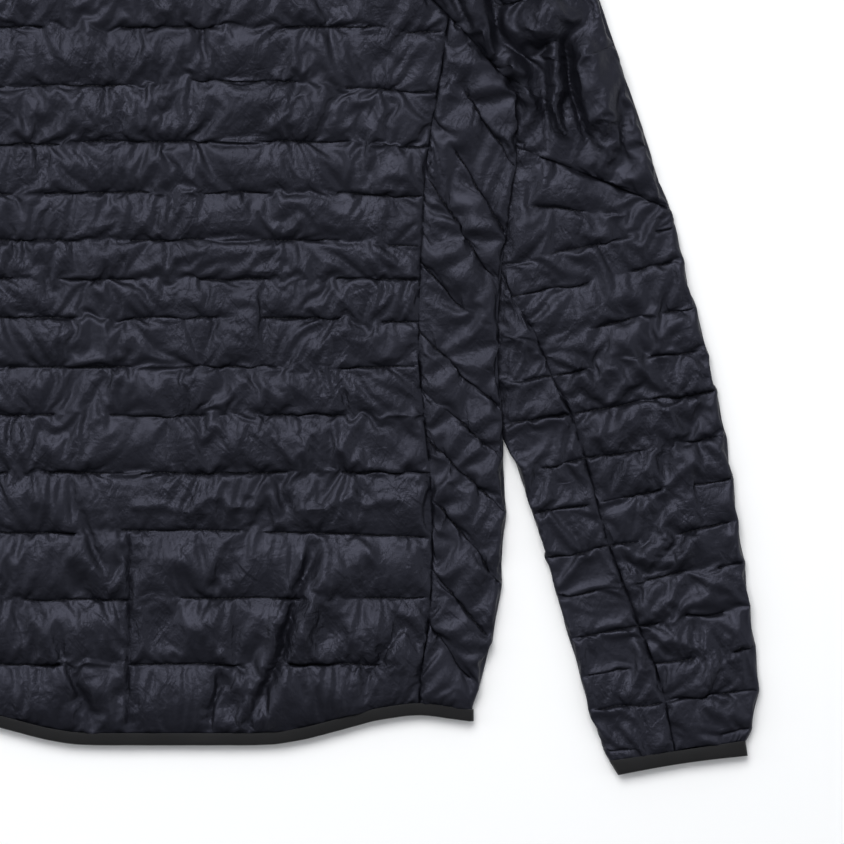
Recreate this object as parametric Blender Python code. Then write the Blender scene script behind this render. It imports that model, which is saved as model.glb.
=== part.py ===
"""Quilted jacket laid flat on its front, back panel up.

Blender 4.5 script, metres, +Z up. The jacket lies on the XY plane: +Y runs to the collar, +X is the
wearer's right. X = 0 is the centre back. The pieces are worked out in millimetres from the hem's lowest
point, then moved so that the origin is the middle of the outline, on the surface it lies on.

Every quilted piece is a wall: a plain inside, and an outside raised between its lines of stitching.
"""
import math

import bmesh
import bpy
import numpy as np
from mathutils import Vector

MM = 0.001

# Layers of the jacket laid flat, in millimetres above the surface
UNDER_WALL = 4.0          # thickness of the layer underneath, pressed flat
SLIT = 0.4                # space between the two layers
STITCHED = 2.0            # thickness of the upper layer on a line of stitching
LOFT = 0.185              # height of a puff over that, per millimetre between its rows
LOFT_MAX = 8.0
THINNEST = 1.3            # least thickness of the upper layer at the bottom of a fold
SADDLE = 0.6              # part of the puff left where a row skips between two dashes
EDGE_RAMP = 13.0          # distance over which a puff sinks to a seam
SEAM = 0.4                # gap left between two sewn pieces, measured along a row
UPPER_INSIDE = UNDER_WALL + SLIT

# The fold round the body's edge and the sleeve's two edges
FOLD_RADIUS = 6.5
FOLD_WALL = 4.0
NOTCH = 1.6               # how far a row of stitching pulls the edge in
FOLD_ANGLES = (52.0, 14.0, -28.0, -90.0)

# Bindings, collar and zip
HEM_HEIGHT = 9.0
CUFF_HEIGHT = 11.5
BINDING = 3.4             # thickness of a binding, folded over the quilting's edge
BINDING_SWELL = ((0.0, 0.0), (0.5, 0.5), (1.0, 0.0))
BINDING_FOLD = 3.2
CUFF_INSET = 2.0          # the last puff overhangs the cuff's binding by this much
FOLD_HOLLOW = 0.35        # part of a fold's depth that the slit reaches into
COLLAR_HEIGHT = 50.0
COLLAR_TAPER = 0.94
COLLAR_PUFF = 4.5
COLLAR_FOLD = 5.0
ZIP_HALF = 7.0            # half the width between the two fronts
NECK_HALF = 80.0
BACK_NECK = 660.0
BACK_NECK_RISE = 13.0
FRONT_NECK = 600.0
RAGLAN_NECK = 60.0        # where the raglan seams reach the neck
NECK_PLACES = [float(x) for x in np.linspace(ZIP_HALF, RAGLAN_NECK, 9)]

# Zip, all under the jacket: the chain's back, the slider and its tab lie above the surface
ZIP_FOOT = 2.0            # height of the hem's end of the zip
TAPE_LOW, TAPE_HIGH = 2.7, 3.6
BEAD_LOW, BEAD_HIGH, BEAD_WIDTH = 2.1, 3.9, 2.4
SLIDER_HALF, SLIDER_LENGTH = 4.1, 12.0
SLIDER_LOW, SLIDER_HIGH = 2.0, 3.9
ARCH_HALF_WIDTH, ARCH_REACH, ARCH_BAR = 0.6, 2.6, 0.8
ARCH_LOW, ARCH_HIGH = 0.3, 0.8
TAB_LENGTH, TAB_HALF, TAB_THICK = 25.0, 3.0, 0.6
TAB_ROOT, TAB_HOLE_HALF, TAB_HOLE = 0.4, 1.0, 3.4
TAB_HEIGHT = 1.4          # of the tab's middle and of the pin line it turns on
SLIDER_MIDDLE = FRONT_NECK + COLLAR_HEIGHT - 11.0

# Brick-staggered dashes of the back panel
PERIOD = 116.0
DASH = 60.0
COLUMNS_PER_PERIOD = 8
STEPS = 4                 # sections between two rows of stitching
BACK_ROWS = (60.8, 110.3, 161.3, 204.0, 247.5, 283.5, 320.3, 349.5, 378.8, 414.0, 452.3, 495.8, 538.5,
             581.0, 622.0)

# Lower edge of the hem: distance from the centre back, height
HEM_CURVE = ((0, 0), (50, 0), (72, 0.6), (94, 3.8), (124, 11.3), (154, 19.0), (184, 22.5), (206, 20.0),
             (224, 17.5))

# Side-back seam: height, distance from the centre back
SIDE_SEAM = ((20, 183.2), (50, 184.2), (86, 189.8), (120, 192.2), (155, 193.5), (200, 192.0), (245, 186.8),
             (300, 183.0), (365, 184.5), (415, 187.0), (460, 192.0), (500, 198.8), (546, 205.5))

# Body's edge from the hem to the armhole: height, distance from the centre back
BODY_EDGE = ((18, 222.0), (34, 228.0), (56, 234.8), (86, 242.3), (116, 246.5), (154, 249.3), (184, 250.8),
             (212, 248.3), (251, 244.5), (306, 242.0), (350, 244.5), (383, 248.0), (410, 252.5), (440, 256.0),
             (466, 257.5), (490, 256.0))

# Raglan seam from the armhole to the neck: distance from the centre back, height
RAGLAN = ((256.0, 490.0), (205.5, 546.0), (180.0, 572.0), (140.0, 606.0), (100.0, 637.5), (60.0, 667.0))

# Slanted rows of the side panel: height on the side-back seam, height on the body's edge
SIDE_ROWS = ((33.0, 28.4), (92.0, 40.0), (133.0, 75.0), (186.0, 118.0), (229.0, 172.5), (270.0, 212.0),
             (310.0, 251.0), (362.0, 300.0), (427.5, 341.0), (472.5, 383.0), (517.5, 433.0), (546.0, 490.0))

# Sleeve rows from the cuff up: inner x and y, outer x and y, share of the row that is under sleeve.
# A share of None stands for the armhole, where the row starts at the body.
SLEEVE_ROWS = (
    (324.0, -12.8, 429.8, 3.0, 0.480),
    (318.8, -3.8, 435.0, 12.8, 0.470),
    (308.3, 24.8, 440.3, 41.3, 0.450),
    (300.8, 50.3, 437.6, 75.0, 0.430),
    (292.5, 78.8, 434.3, 105.8, 0.390),
    (284.3, 110.3, 429.8, 137.3, 0.360),
    (275.3, 140.3, 425.3, 168.8, 0.335),
    (266.3, 172.5, 420.8, 200.3, 0.325),
    (254.0, 206.3, 416.3, 233.3, 0.330),
    (247.0, 240.0, 408.8, 266.3, 0.310),
    (244.4, 270.0, 402.0, 297.0, 0.245),
    (243.2, 302.0, 393.5, 328.5, 0.180),
    (244.2, 334.0, 384.0, 364.0, 0.070),
    (246.8, 362.0, 377.5, 389.0, 0.012),
    (252.4, 404.0, 376.0, 395.0, None),
    (258.2, 448.5, 373.5, 400.5, None),
)

# Upper-sleeve sections from the slanted seam to the neck: seam x and y, outer fold x and y
UPPER_ROWS = (
    (258.2, 448.5, 373.5, 400.5),
    (256.8, 490.6, 355.0, 459.0),
    (230.8, 518.6, 336.0, 517.0),
    (205.5, 546.0, 316.0, 569.0),
    (171.0, 579.5, 277.0, 601.5),
    (120.0, 621.8, 189.0, 635.0),
    (60.0, 666.8, 80.0, 671.0),
)

# Largest folds of the upper layer: start x and y, end x and y, half width, height over the puffs.
# Those beyond the side-back seams are on both sides.
FOLDS = (
    (104.0, 141.0, 88.0, 96.0, 15.0, -3.4),
    (88.0, 96.0, 56.0, 18.0, 15.0, -3.8),
    (-34.0, 160.0, -36.0, 16.0, 13.0, -3.2),
    (90.0, 80.0, 143.0, 146.0, 15.0, 2.4),
    (-104.0, 190.0, -62.0, 118.0, 15.0, 2.2),
    (-88.0, 72.0, -61.0, 17.0, 13.0, -2.6),
    (-128.0, 262.0, -160.0, 176.0, 14.0, -2.2),
    (258.0, 548.0, 290.0, 541.0, 17.0, 4.2),
    (240.0, 560.0, 247.0, 527.0, 10.0, -5.2),
    (247.0, 527.0, 276.0, 509.0, 9.0, -4.6),
    (276.0, 509.0, 280.0, 476.0, 10.0, -4.8),
    (290.0, 534.0, 303.0, 470.0, 9.0, -4.2),
    (286.0, 520.0, 288.0, 486.0, 6.0, 2.6),
    (306.0, 530.0, 326.0, 462.0, 13.0, 2.2),
    (232.0, 498.0, 246.0, 446.0, 12.0, 3.0),
    (222.0, 456.0, 240.0, 402.0, 12.0, 2.6),
    (212.0, 400.0, 232.0, 352.0, 11.0, 2.2),
)


def curve(rows, at, key=0, value=1):
    """Value of a smooth curve through the rows of a table, with no overshoot between them."""
    rows = sorted(rows, key=lambda row: row[key])
    xs = np.array([row[key] for row in rows], float)
    ys = np.array([row[value] for row in rows], float)
    slopes = np.diff(ys) / np.diff(xs)
    tangents = np.zeros(len(xs))
    tangents[0], tangents[-1] = slopes[0], slopes[-1]
    for i in range(1, len(xs) - 1):
        if slopes[i - 1] * slopes[i] > 0:
            tangents[i] = 2 / (1 / slopes[i - 1] + 1 / slopes[i])
    at = min(max(at, xs[0]), xs[-1])
    i = min(int(np.searchsorted(xs, at, side="right")) - 1, len(xs) - 2)
    width = xs[i + 1] - xs[i]
    t = (at - xs[i]) / width
    return float((2 * t ** 3 - 3 * t ** 2 + 1) * ys[i] + (t ** 3 - 2 * t ** 2 + t) * width * tangents[i]
                 + (3 * t ** 2 - 2 * t ** 3) * ys[i + 1] + (t ** 3 - t ** 2) * width * tangents[i + 1])


def smooth(t):
    t = min(max(t, 0.0), 1.0)
    return t * t * (3 - 2 * t)


def hem(x):
    return curve(HEM_CURVE, abs(x))


def back_neck(x):
    return BACK_NECK + BACK_NECK_RISE * (x / NECK_HALF) ** 2


def front_neck(x, gap=0.0):
    """The front neck is a deep curve inside the raglan seams. A gap moves it squarely off its line."""
    if abs(x) >= RAGLAN_NECK:
        return back_neck(x) + gap
    side = back_neck(RAGLAN_NECK)
    slope = 2 * (side - FRONT_NECK) * x / RAGLAN_NECK ** 2
    return side - (side - FRONT_NECK) * (1 - (x / RAGLAN_NECK) ** 2) + gap * math.hypot(1, slope)


def back_half_width(y):
    top_of_side = SIDE_SEAM[-1][0]
    if y <= top_of_side:
        return curve(SIDE_SEAM, y)
    return curve(RAGLAN[1:], y, key=1, value=0)


def rise(f):
    """Rise of a puff from a row of stitching, 0 on the row and 1 halfway to the next row."""
    return math.sqrt(1 - (1 - min(1.0, 2 * f)) ** 2)


def puff(f, below, above, spacing):
    """Height of a puff at the part f of the way between two rows, each stitched 0 to 1 there."""
    height = min(LOFT_MAX, LOFT * spacing)
    return height * (1 - below * (1 - rise(f)) - above * (1 - rise(1 - f)))


def with_folds(height, x, y):
    """Height over the stitched level once the large folds near the point are added to a puff."""
    for x1, y1, x2, y2, half_width, lift in FOLDS:
        run, rest = x2 - x1, y2 - y1
        t = ((x - x1) * run + (y - y1) * rest) / (run * run + rest * rest)
        t = min(max(t, 0.0), 1.0)
        away = math.hypot(x - x1 - t * run, y - y1 - t * rest)
        height += lift * smooth(1 - away / half_width)
    return max(height, THINNEST - STITCHED)


def brick_stitch(x, row):
    """1 on a dash of the back panel's row, SADDLE's complement between two dashes."""
    offset = 0.0 if row % 2 == 0 else PERIOD / 2
    away = abs((x - offset + PERIOD / 2) % PERIOD - PERIOD / 2)
    between = smooth((away - DASH / 2) / (PERIOD / 2 - DASH / 2))
    return 1 - SADDLE * between


def slant_stitch(share, row):
    """Stitching of the side panel's slanted rows, which skip near one end in turn."""
    start = 0.0 if row % 2 == 0 else 0.35
    inside = start <= share <= start + 0.7
    return 1.0 if inside else 1 - SADDLE


def sleeve_stitch(share, row):
    """Staggered dashes across a sleeve, as a share of the row from one edge to the other."""
    dashes = ((0.0, 0.28), (0.42, 0.68), (0.86, 1.0)) if row % 2 == 0 else ((0.1, 0.5), (0.68, 0.97))
    inside = any(start - 0.02 <= share <= end + 0.02 for start, end in dashes)
    return 1.0 if inside else 1 - SADDLE


def remove_all_objects():
    for obj in list(bpy.data.objects):
        bpy.data.objects.remove(obj, do_unlink=True)


def material(name, colour, roughness, metallic=0.0):
    made = bpy.data.materials.new(name)
    made.use_nodes = True
    shader = made.node_tree.nodes["Principled BSDF"]
    shader.inputs["Base Color"].default_value = (*colour, 1.0)
    shader.inputs["Roughness"].default_value = roughness
    shader.inputs["Metallic"].default_value = metallic
    return made


class Shape:
    """Collects points in millimetres and faces, and turns them into one object."""

    def __init__(self):
        self.points = []
        self.faces = []

    def add(self, point):
        self.points.append(tuple(point))
        return len(self.points) - 1

    def add_row(self, points):
        return [self.add(point) for point in points]

    def face(self, *corners):
        kept = [c for i, c in enumerate(corners) if c != corners[i - 1]]
        self.faces.append(kept)

    def strip(self, first, second):
        """Quads between two rows of point numbers, side by side."""
        for i in range(len(first) - 1):
            self.face(first[i], first[i + 1], second[i + 1], second[i])

    def build(self, name, finish, mirrored=False):
        side = -1 if mirrored else 1
        mesh = bpy.data.meshes.new(name)
        moved = [((side * x) * MM, (y - MIDDLE_Y) * MM, z * MM) for x, y, z in self.points]
        mesh.from_pydata(moved, [], self.faces)
        work = bmesh.new()
        work.from_mesh(mesh)
        bmesh.ops.recalc_face_normals(work, faces=work.faces)
        bmesh.ops.triangulate(work, faces=work.faces, quad_method="BEAUTY", ngon_method="BEAUTY")
        work.to_mesh(mesh)
        work.free()
        obj = bpy.data.objects.new(name, mesh)
        bpy.context.scene.collection.objects.link(obj)
        mesh.materials.append(finish)
        mesh.shade_smooth()
        mesh.set_sharp_from_angle(angle=math.radians(40))
        return obj


def closed_grid(outer, inner, ring=False):
    """A wall between two grids of points of the same size. A ring joins its last column to its first."""
    shape = Shape()
    out = [shape.add_row(row) for row in outer]
    ins = [shape.add_row(row) for row in inner]
    if ring:
        out = [row + row[:1] for row in out]
        ins = [row + row[:1] for row in ins]
    for j in range(len(out) - 1):
        shape.strip(out[j], out[j + 1])
        shape.strip(ins[j + 1], ins[j])
    shape.strip(ins[0], out[0])
    shape.strip(out[-1], ins[-1])
    if not ring:
        shape.strip([row[0] for row in out], [row[0] for row in ins])
        shape.strip([row[-1] for row in ins], [row[-1] for row in out])
    return shape


def flat_panel(outline, low, high):
    """A plain wall of constant thickness on a flat outline."""
    shape = Shape()
    bottom = shape.add_row([(x, y, low) for x, y in outline])
    top = shape.add_row([(x, y, high) for x, y in outline])
    shape.face(*reversed(bottom))
    shape.face(*top)
    shape.strip(bottom + bottom[:1], top + top[:1])
    return shape


def back_panel():
    """Brick-quilted wall between the side-back and raglan seams, on a flat inside."""
    rows = [None, *BACK_ROWS, None]
    columns = 2 * round(back_half_width(BACK_ROWS[4]) / (PERIOD / COLUMNS_PER_PERIOD))
    shares = [2 * i / columns - 1 for i in range(columns + 1)]
    full_width = back_half_width(BACK_ROWS[4])

    def row_height(number, x):
        if number == 0:
            return hem(x) + HEM_HEIGHT + SEAM
        if number == len(rows) - 1:
            return back_neck(x) - SEAM / 2
        return rows[number]

    def half_width(number, f):
        """Half width where a section, curved like the hem or the neck, meets the seam."""
        half = full_width
        for _ in range(30):
            level = row_height(number, half) * (1 - f) + row_height(number + 1, half) * f
            half = (half + back_half_width(level)) / 2
        return half - SEAM / 2

    outer, plan = [], []
    for number in range(len(rows) - 1):
        last = number == len(rows) - 2
        for step in range(STEPS + 1 if last else STEPS):
            f = step / STEPS
            line, plan_line = [], []
            half = half_width(number, f)
            for share in shares:
                x_full = share * full_width
                x = share * half
                y = row_height(number, x) * (1 - f) + row_height(number + 1, x) * f
                spacing = row_height(number + 1, x) - row_height(number, x)
                below = 1.0 if number == 0 else brick_stitch(x_full, number - 1)
                above = 1.0 if number == len(rows) - 2 else brick_stitch(x_full, number)
                ramp = smooth((half - abs(x)) / EDGE_RAMP)
                z = UPPER_INSIDE + STITCHED + with_folds(puff(f, below, above, spacing), x, y) * ramp
                line.append((x, y, z))
                plan_line.append((x, y))
            outer.append(line)
            plan.append(plan_line)
    shape = Shape()
    grid = [shape.add_row(row) for row in outer]
    for j in range(len(grid) - 1):
        shape.strip(grid[j], grid[j + 1])
    around = [(0, i) for i in range(columns + 1)]
    around += [(j, columns) for j in range(1, len(grid))]
    around += [(len(grid) - 1, i) for i in range(columns - 1, -1, -1)]
    around += [(j, 0) for j in range(len(grid) - 2, 0, -1)]
    inside = shape.add_row([(*plan[j][i], UPPER_INSIDE) for j, i in around])
    rim = [grid[j][i] for j, i in around]
    shape.strip(inside + inside[:1], rim + rim[:1])
    shape.face(*reversed(inside))
    return shape


def folded_panel(stations, stitch, shares):
    """A quilted wall that starts at a seam on top, runs to a fold, and returns flat underneath.

    Each station is (seam point, fold point, row number, part of the way to the next row, row spacing).
    Its section is a flat strip, a rounded fold, and the layer underneath with a thin slit between.
    """
    shape = Shape()
    outer, seam_top, fold_top, fold_low, seam_low, seam_foot = [], [], [], [], [], []
    for seam, fold, row, f, spacing in stations:
        seam, fold = Vector(seam), Vector(fold)
        along = fold - seam
        length = along.length
        along = along / length
        seam = seam + along * (SEAM / 2)
        length -= SEAM / 2
        radius = min(FOLD_RADIUS, 0.55 * length)
        wall = FOLD_WALL * radius / FOLD_RADIUS

        def top(share):
            below = 1.0 if row == 0 else stitch(share, row)
            above = 1.0 if row == stations[-1][2] else stitch(share, row + 1)
            ramp = smooth(share * length / EDGE_RAMP)
            x, y = seam + along * (share * length)
            return with_folds(puff(f, below, above, spacing), x, y) * ramp

        start = 1 - radius / length
        line = []
        for share in shares:
            reach = share * start
            x, y = seam + along * (reach * length)
            line.append((x, y, UPPER_INSIDE + STITCHED + top(reach)))
        crown = line[-1][2]
        height = min(LOFT_MAX, LOFT * spacing)
        sunk = min(max(1 - top(start) / max(height, 0.1), 0.0), 1.0)
        pulled = NOTCH * sunk * radius / FOLD_RADIUS
        for angle in FOLD_ANGLES:
            turn = math.radians(angle)
            reach = length - radius + (radius - pulled) * math.cos(turn)
            x, y = seam + along * reach
            line.append((x, y, crown / 2 * (1 + math.sin(turn))))
        outer.append(shape.add_row(line))
        x, y = seam
        seam_top.append(shape.add((x, y, UPPER_INSIDE)))
        seam_low.append(shape.add((x, y, UNDER_WALL)))
        seam_foot.append(shape.add((x, y, 0.0)))
        x, y = seam + along * (length - wall)
        fold_top.append(shape.add((x, y, UPPER_INSIDE)))
        fold_low.append(shape.add((x, y, UNDER_WALL)))
    for j in range(len(outer) - 1):
        shape.strip(outer[j], outer[j + 1])
    shape.strip([row[0] for row in outer], seam_top)
    shape.strip(fold_top, fold_low)
    shape.strip(seam_low, seam_foot)
    shape.face(*seam_top, *reversed(fold_top))
    shape.face(*fold_low, *reversed(seam_low))
    shape.face(*seam_foot, *reversed([row[-1] for row in outer]))
    for end in (0, -1):
        shape.face(*outer[end], seam_foot[end], seam_low[end], fold_low[end], fold_top[end], seam_top[end])
    return shape


def between(first, second, f):
    return [a + (b - a) * f for a, b in zip(first, second)]


def bend(points, number, f):
    """Point on the smooth line through all the points, the part f of the way past the numbered one."""
    before, start = points[max(number - 1, 0)], points[number]
    end, after = points[number + 1], points[min(number + 2, len(points) - 1)]
    return [a + 0.5 * f * (c - p + f * (2 * p - 5 * a + 4 * c - n + f * (3 * (a - c) + n - p)))
            for p, a, c, n in zip(before, start, end, after)]


def stations_from(rows, steps, ends=None):
    """Sections at each row of stitching and between them. A row is (seam point, fold point)."""
    made = []
    folds = [fold for _, fold in rows]
    for number in range(len(rows) - 1):
        (seam_a, fold_a), (seam_b, fold_b) = rows[number], rows[number + 1]
        spacing = ((Vector(seam_b) - Vector(seam_a)).length + (Vector(fold_b) - Vector(fold_a)).length) / 2
        last = number == len(rows) - 2
        for step in range(steps + 1 if last else steps):
            f = step / steps
            seam, fold = between(seam_a, seam_b, f), bend(folds, number, f)
            if ends:
                seam, fold = ends(seam, fold)
            made.append((seam, fold, number, f, spacing))
    return made


def side_stations():
    """Sections of the side panel, slanted like its quilting."""
    rows = [((curve(SIDE_SEAM, low), low), (curve(BODY_EDGE, high), high)) for low, high in SIDE_ROWS]
    rows[0] = tuple((x, hem(x) + HEM_HEIGHT + 2 * SEAM) for x, _ in rows[0])

    def on_curves(seam, fold):
        return (curve(SIDE_SEAM, seam[1]), seam[1]), (curve(BODY_EDGE, fold[1]), fold[1])

    return stations_from(rows, STEPS, on_curves)


def side_panel():
    """Slant-quilted strip between the side-back seam, round the body's edge, and the front."""
    shares = [0.0, 0.22, 0.46, 0.72, 1.0]
    return folded_panel(side_stations(), slant_stitch, shares)


def sleeve_seam(row):
    x0, y0, x1, y1, share = row
    share = share or 0.0
    return (x0 + (x1 - x0) * share, y0 + (y1 - y0) * share)


def top_sleeve():
    """Outer piece from the under-sleeve seam and the armhole, round the sleeve's outer edge."""
    rows = [(sleeve_seam(row), (row[2], row[3])) for row in SLEEVE_ROWS]
    shares = [0.0, 0.15, 0.32, 0.5, 0.68, 0.85, 1.0]
    return folded_panel(stations_from(rows, STEPS - 1), sleeve_stitch, shares)


def under_sleeve():
    """Inner piece from the under-sleeve seam, round the sleeve's inner edge."""
    rows = [(sleeve_seam(row), (row[0], row[1])) for row in SLEEVE_ROWS if row[4] is not None]
    shares = [0.0, 0.33, 0.66, 1.0]
    return folded_panel(stations_from(rows, STEPS - 1), sleeve_stitch, shares)


def upper_stations():
    """Sections of the upper sleeve, from its slanted seam to the neck."""
    rows = [((row[0], row[1]), (row[2], row[3])) for row in UPPER_ROWS]
    (seam_0, fold_0), (seam_1, fold_1) = rows[0], rows[1]
    lift = SEAM / (Vector(seam_1) - Vector(seam_0)).length
    rows[0] = (between(seam_0, seam_1, lift), between(fold_0, fold_1, lift))

    def on_raglan(seam, fold):
        x, y = seam
        return (curve(RAGLAN[1:], y, key=1, value=0) if y > SIDE_SEAM[-1][0] else x, y), fold

    return stations_from(rows, STEPS, on_raglan)


def upper_sleeve():
    """Raglan piece from the slanted seam to the neck, round the shoulder's fold."""
    shares = [0.0, 0.15, 0.32, 0.5, 0.68, 0.85, 1.0]
    return folded_panel(upper_stations(), sleeve_stitch, shares)


def front_panel():
    """Flat layer underneath, between the zip, the hem, the side seam, the raglan seam and the neck."""
    hem_x = np.linspace(ZIP_HALF, curve(SIDE_SEAM, 33.0) - SEAM / 2, 10)
    outline = [(x, hem(x) + HEM_HEIGHT + SEAM) for x in hem_x]
    outline += [(seam[0] - SEAM / 2, seam[1]) for seam, *_ in side_stations()[1:-1]]
    raglan_top = [seam for seam, *_ in upper_stations() if seam[1] > SIDE_SEAM[-1][0] - SEAM]
    outline += [(x - SEAM / 2, y) for x, y in raglan_top[:-1]]
    neck = [*NECK_PLACES[:-1], RAGLAN_NECK - 1.0]
    outline += [(x, front_neck(x, -SEAM / 2)) for x in reversed(neck)]
    return flat_panel(outline, 0.0, UNDER_WALL)


def flattened_ring(stations, heights, layers, fold_depth):
    """Grids of a strip that runs from the zip, under, round one fold, over, and back to the zip.

    Each station is (x, base y, top y, place), where place is "under", "over" or an angle of the fold
    in degrees. Each height is (share of the strip's height, swell of its upper layer).
    """
    outer, inner = [], []
    under, over = layers
    for height, swell in heights:
        out_row, in_row = [], []
        for x, base, top, place in stations:
            y = base + (top - base) * height
            if place == "under":
                out_row.append((x, y, 0.0))
                in_row.append((x, y, under))
            elif place == "over":
                out_row.append((x, y, over + swell))
                in_row.append((x, y, UPPER_INSIDE))
            else:
                turn = math.radians(place)
                crown = over + swell
                side = math.copysign(1.0, x)
                z_in = (under + UPPER_INSIDE) / 2 + (UPPER_INSIDE - under) / 2 * math.sin(turn)
                out_row.append((x + side * fold_depth * math.cos(turn), y, crown / 2 * (1 + math.sin(turn))))
                in_row.append((x + side * FOLD_HOLLOW * fold_depth * math.cos(turn), y, z_in))
        outer.append(out_row)
        inner.append(in_row)
    return outer, inner


def ring_stations(under_places, over_count, base_under, base_over, height):
    """Places round a flattened opening: from the zip underneath, round the fold, over, and back."""
    fold_angles = (-60.0, 0.0, 60.0)
    half = under_places[-1]
    right = [(x, base_under(x), base_under(x) + height, "under") for x in under_places]
    right += [(half, base_over(half), base_over(half) + height, angle) for angle in fold_angles]
    over = [(x, base_over(x), base_over(x) + height, "over") for x in np.linspace(half, -half, over_count)]
    left = [(-x, base, top, place) for x, base, top, place in reversed(right)]
    return right + over + left


def hem_binding():
    """Folded strip all round the hem, open at the zip."""
    half = HEM_CURVE[-1][0] - BINDING_FOLD
    stations = ring_stations(np.linspace(ZIP_HALF, half, 12), 31, hem, hem, HEM_HEIGHT)
    layers = (BINDING, UPPER_INSIDE + BINDING)
    outer, inner = flattened_ring(stations, BINDING_SWELL, layers, BINDING_FOLD)
    return closed_grid(outer, inner)


def collar():
    """Stand collar round the neck, one strip from zip to zip, with one row of quilting along it."""
    places = [*NECK_PLACES, NECK_HALF - COLLAR_FOLD]

    def under_base(x):
        return front_neck(x, SEAM / 2)

    def over_base(x):
        return back_neck(x) + SEAM / 2

    stations = ring_stations(places, 15, under_base, over_base, COLLAR_HEIGHT)
    heights = ((0.0, 0.0), (0.17, COLLAR_PUFF), (0.33, COLLAR_PUFF), (0.5, 0.0), (0.67, COLLAR_PUFF),
               (0.83, COLLAR_PUFF), (1.0, 0.0))
    layers = (UNDER_WALL, UPPER_INSIDE + STITCHED)
    outer, inner = flattened_ring(stations, heights, layers, COLLAR_FOLD)
    for grid in (outer, inner):
        for (height, _), row in zip(heights, grid):
            narrow = 1 - (1 - COLLAR_TAPER) * height
            row[:] = [(x if abs(x) <= ZIP_HALF else x * narrow, y, z) for x, y, z in row]
    return closed_grid(outer, inner)


def cuff_binding():
    """Folded strip round the sleeve's end, a flattened tube."""
    inner_x, inner_y, outer_x, outer_y, _ = SLEEVE_ROWS[0]
    start, end = Vector((inner_x, inner_y)), Vector((outer_x, outer_y))
    along = (end - start).normalized()
    down = Vector((along.y, -along.x))
    fold = BINDING_FOLD
    length = (end - start).length - 2 * CUFF_INSET
    outer, inner = [], []
    for height, swell in BINDING_SWELL:
        base = start + along * CUFF_INSET + down * (SEAM + CUFF_HEIGHT * height)
        crown = UPPER_INSIDE + BINDING + swell
        out_row, in_row = [], []

        def add(reach, z_out, reach_in, z_in):
            out_row.append((*(base + along * reach), z_out))
            in_row.append((*(base + along * reach_in), z_in))

        for share in np.linspace(0, 1, 6):
            reach = fold + share * (length - 2 * fold)
            add(reach, crown, reach, UPPER_INSIDE)
        for angle in (45.0, 0.0, -45.0):
            turn = math.radians(angle)
            z_in = (BINDING + UPPER_INSIDE) / 2 + (UPPER_INSIDE - BINDING) / 2 * math.sin(turn)
            add(length - fold + fold * math.cos(turn), crown / 2 * (1 + math.sin(turn)),
                length - fold + FOLD_HOLLOW * fold * math.cos(turn), z_in)
        for share in np.linspace(1, 0, 4):
            reach = fold + share * (length - 2 * fold)
            add(reach, 0.0, reach, BINDING)
        for angle in (-45.0, 0.0, 45.0):
            turn = math.radians(angle)
            z_in = (BINDING + UPPER_INSIDE) / 2 + (UPPER_INSIDE - BINDING) / 2 * math.sin(turn)
            add(fold - fold * math.cos(turn), crown / 2 * (1 + math.sin(turn)),
                fold - FOLD_HOLLOW * fold * math.cos(turn), z_in)
        outer.append(out_row)
        inner.append(in_row)
    return closed_grid(outer, inner, ring=True)


def zip_tape():
    """Half of the zip: a tape with the chain's rounded half along its edge, cut back at the slider."""
    gap = SEAM / 2
    edge = ZIP_HALF - gap
    foot, head = ZIP_FOOT, SLIDER_MIDDLE + SLIDER_LENGTH / 2 + 3.0
    section = ((gap, BEAD_LOW), (BEAD_WIDTH, BEAD_LOW), (BEAD_WIDTH, TAPE_LOW), (edge, TAPE_LOW),
               (edge, TAPE_HIGH), (BEAD_WIDTH, TAPE_HIGH), (BEAD_WIDTH, BEAD_HIGH), (gap, BEAD_HIGH))
    shape = Shape()
    stop = SLIDER_MIDDLE - SLIDER_LENGTH / 2 - SEAM
    cut = SLIDER_HALF + SEAM
    first = shape.add_row([(x, foot, z) for x, z in section])
    second = shape.add_row([(x, stop, z) for x, z in section])
    shape.strip(first + first[:1], second + second[:1])
    shape.face(*reversed(first))
    # Beside the slider only the tape's outer part goes on
    low_a = shape.add((cut, stop, TAPE_LOW))
    high_a = shape.add((cut, stop, TAPE_HIGH))
    ends = [(cut, head, TAPE_LOW), (edge, head, TAPE_LOW), (edge, head, TAPE_HIGH), (cut, head, TAPE_HIGH)]
    far = shape.add_row(ends)
    shape.face(second[0], second[1], second[2], low_a, high_a, second[5], second[6], second[7])
    shape.faces = [f for f in shape.faces if not (second[2] in f and second[3] in f)]
    shape.faces = [f for f in shape.faces if not (second[4] in f and second[5] in f)]
    shape.face(first[2], first[3], second[3], low_a, second[2])
    shape.face(first[4], first[5], second[5], high_a, second[4])
    shape.face(low_a, second[3], far[1], far[0])
    shape.face(second[3], second[4], far[2], far[1])
    shape.face(second[4], high_a, far[3], far[2])
    shape.face(high_a, low_a, far[0], far[3])
    shape.face(*far)
    return shape


def frame_plate(outside, hole, low, high):
    """A flat plate with one rectangular hole. Each rectangle is (x0, x1, y0, y1)."""
    shape = Shape()
    loops = []
    for x0, x1, y0, y1 in (outside, hole):
        corners = ((x0, y0), (x1, y0), (x1, y1), (x0, y1))
        loops.append([shape.add_row([(x, y, z) for x, y in corners]) for z in (low, high)])
    (out_low, out_high), (in_low, in_high) = loops
    for first, second in ((out_low, out_high), (in_low, in_high), (out_low, in_low), (out_high, in_high)):
        shape.strip(first + first[:1], second + second[:1])
    return shape


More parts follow.
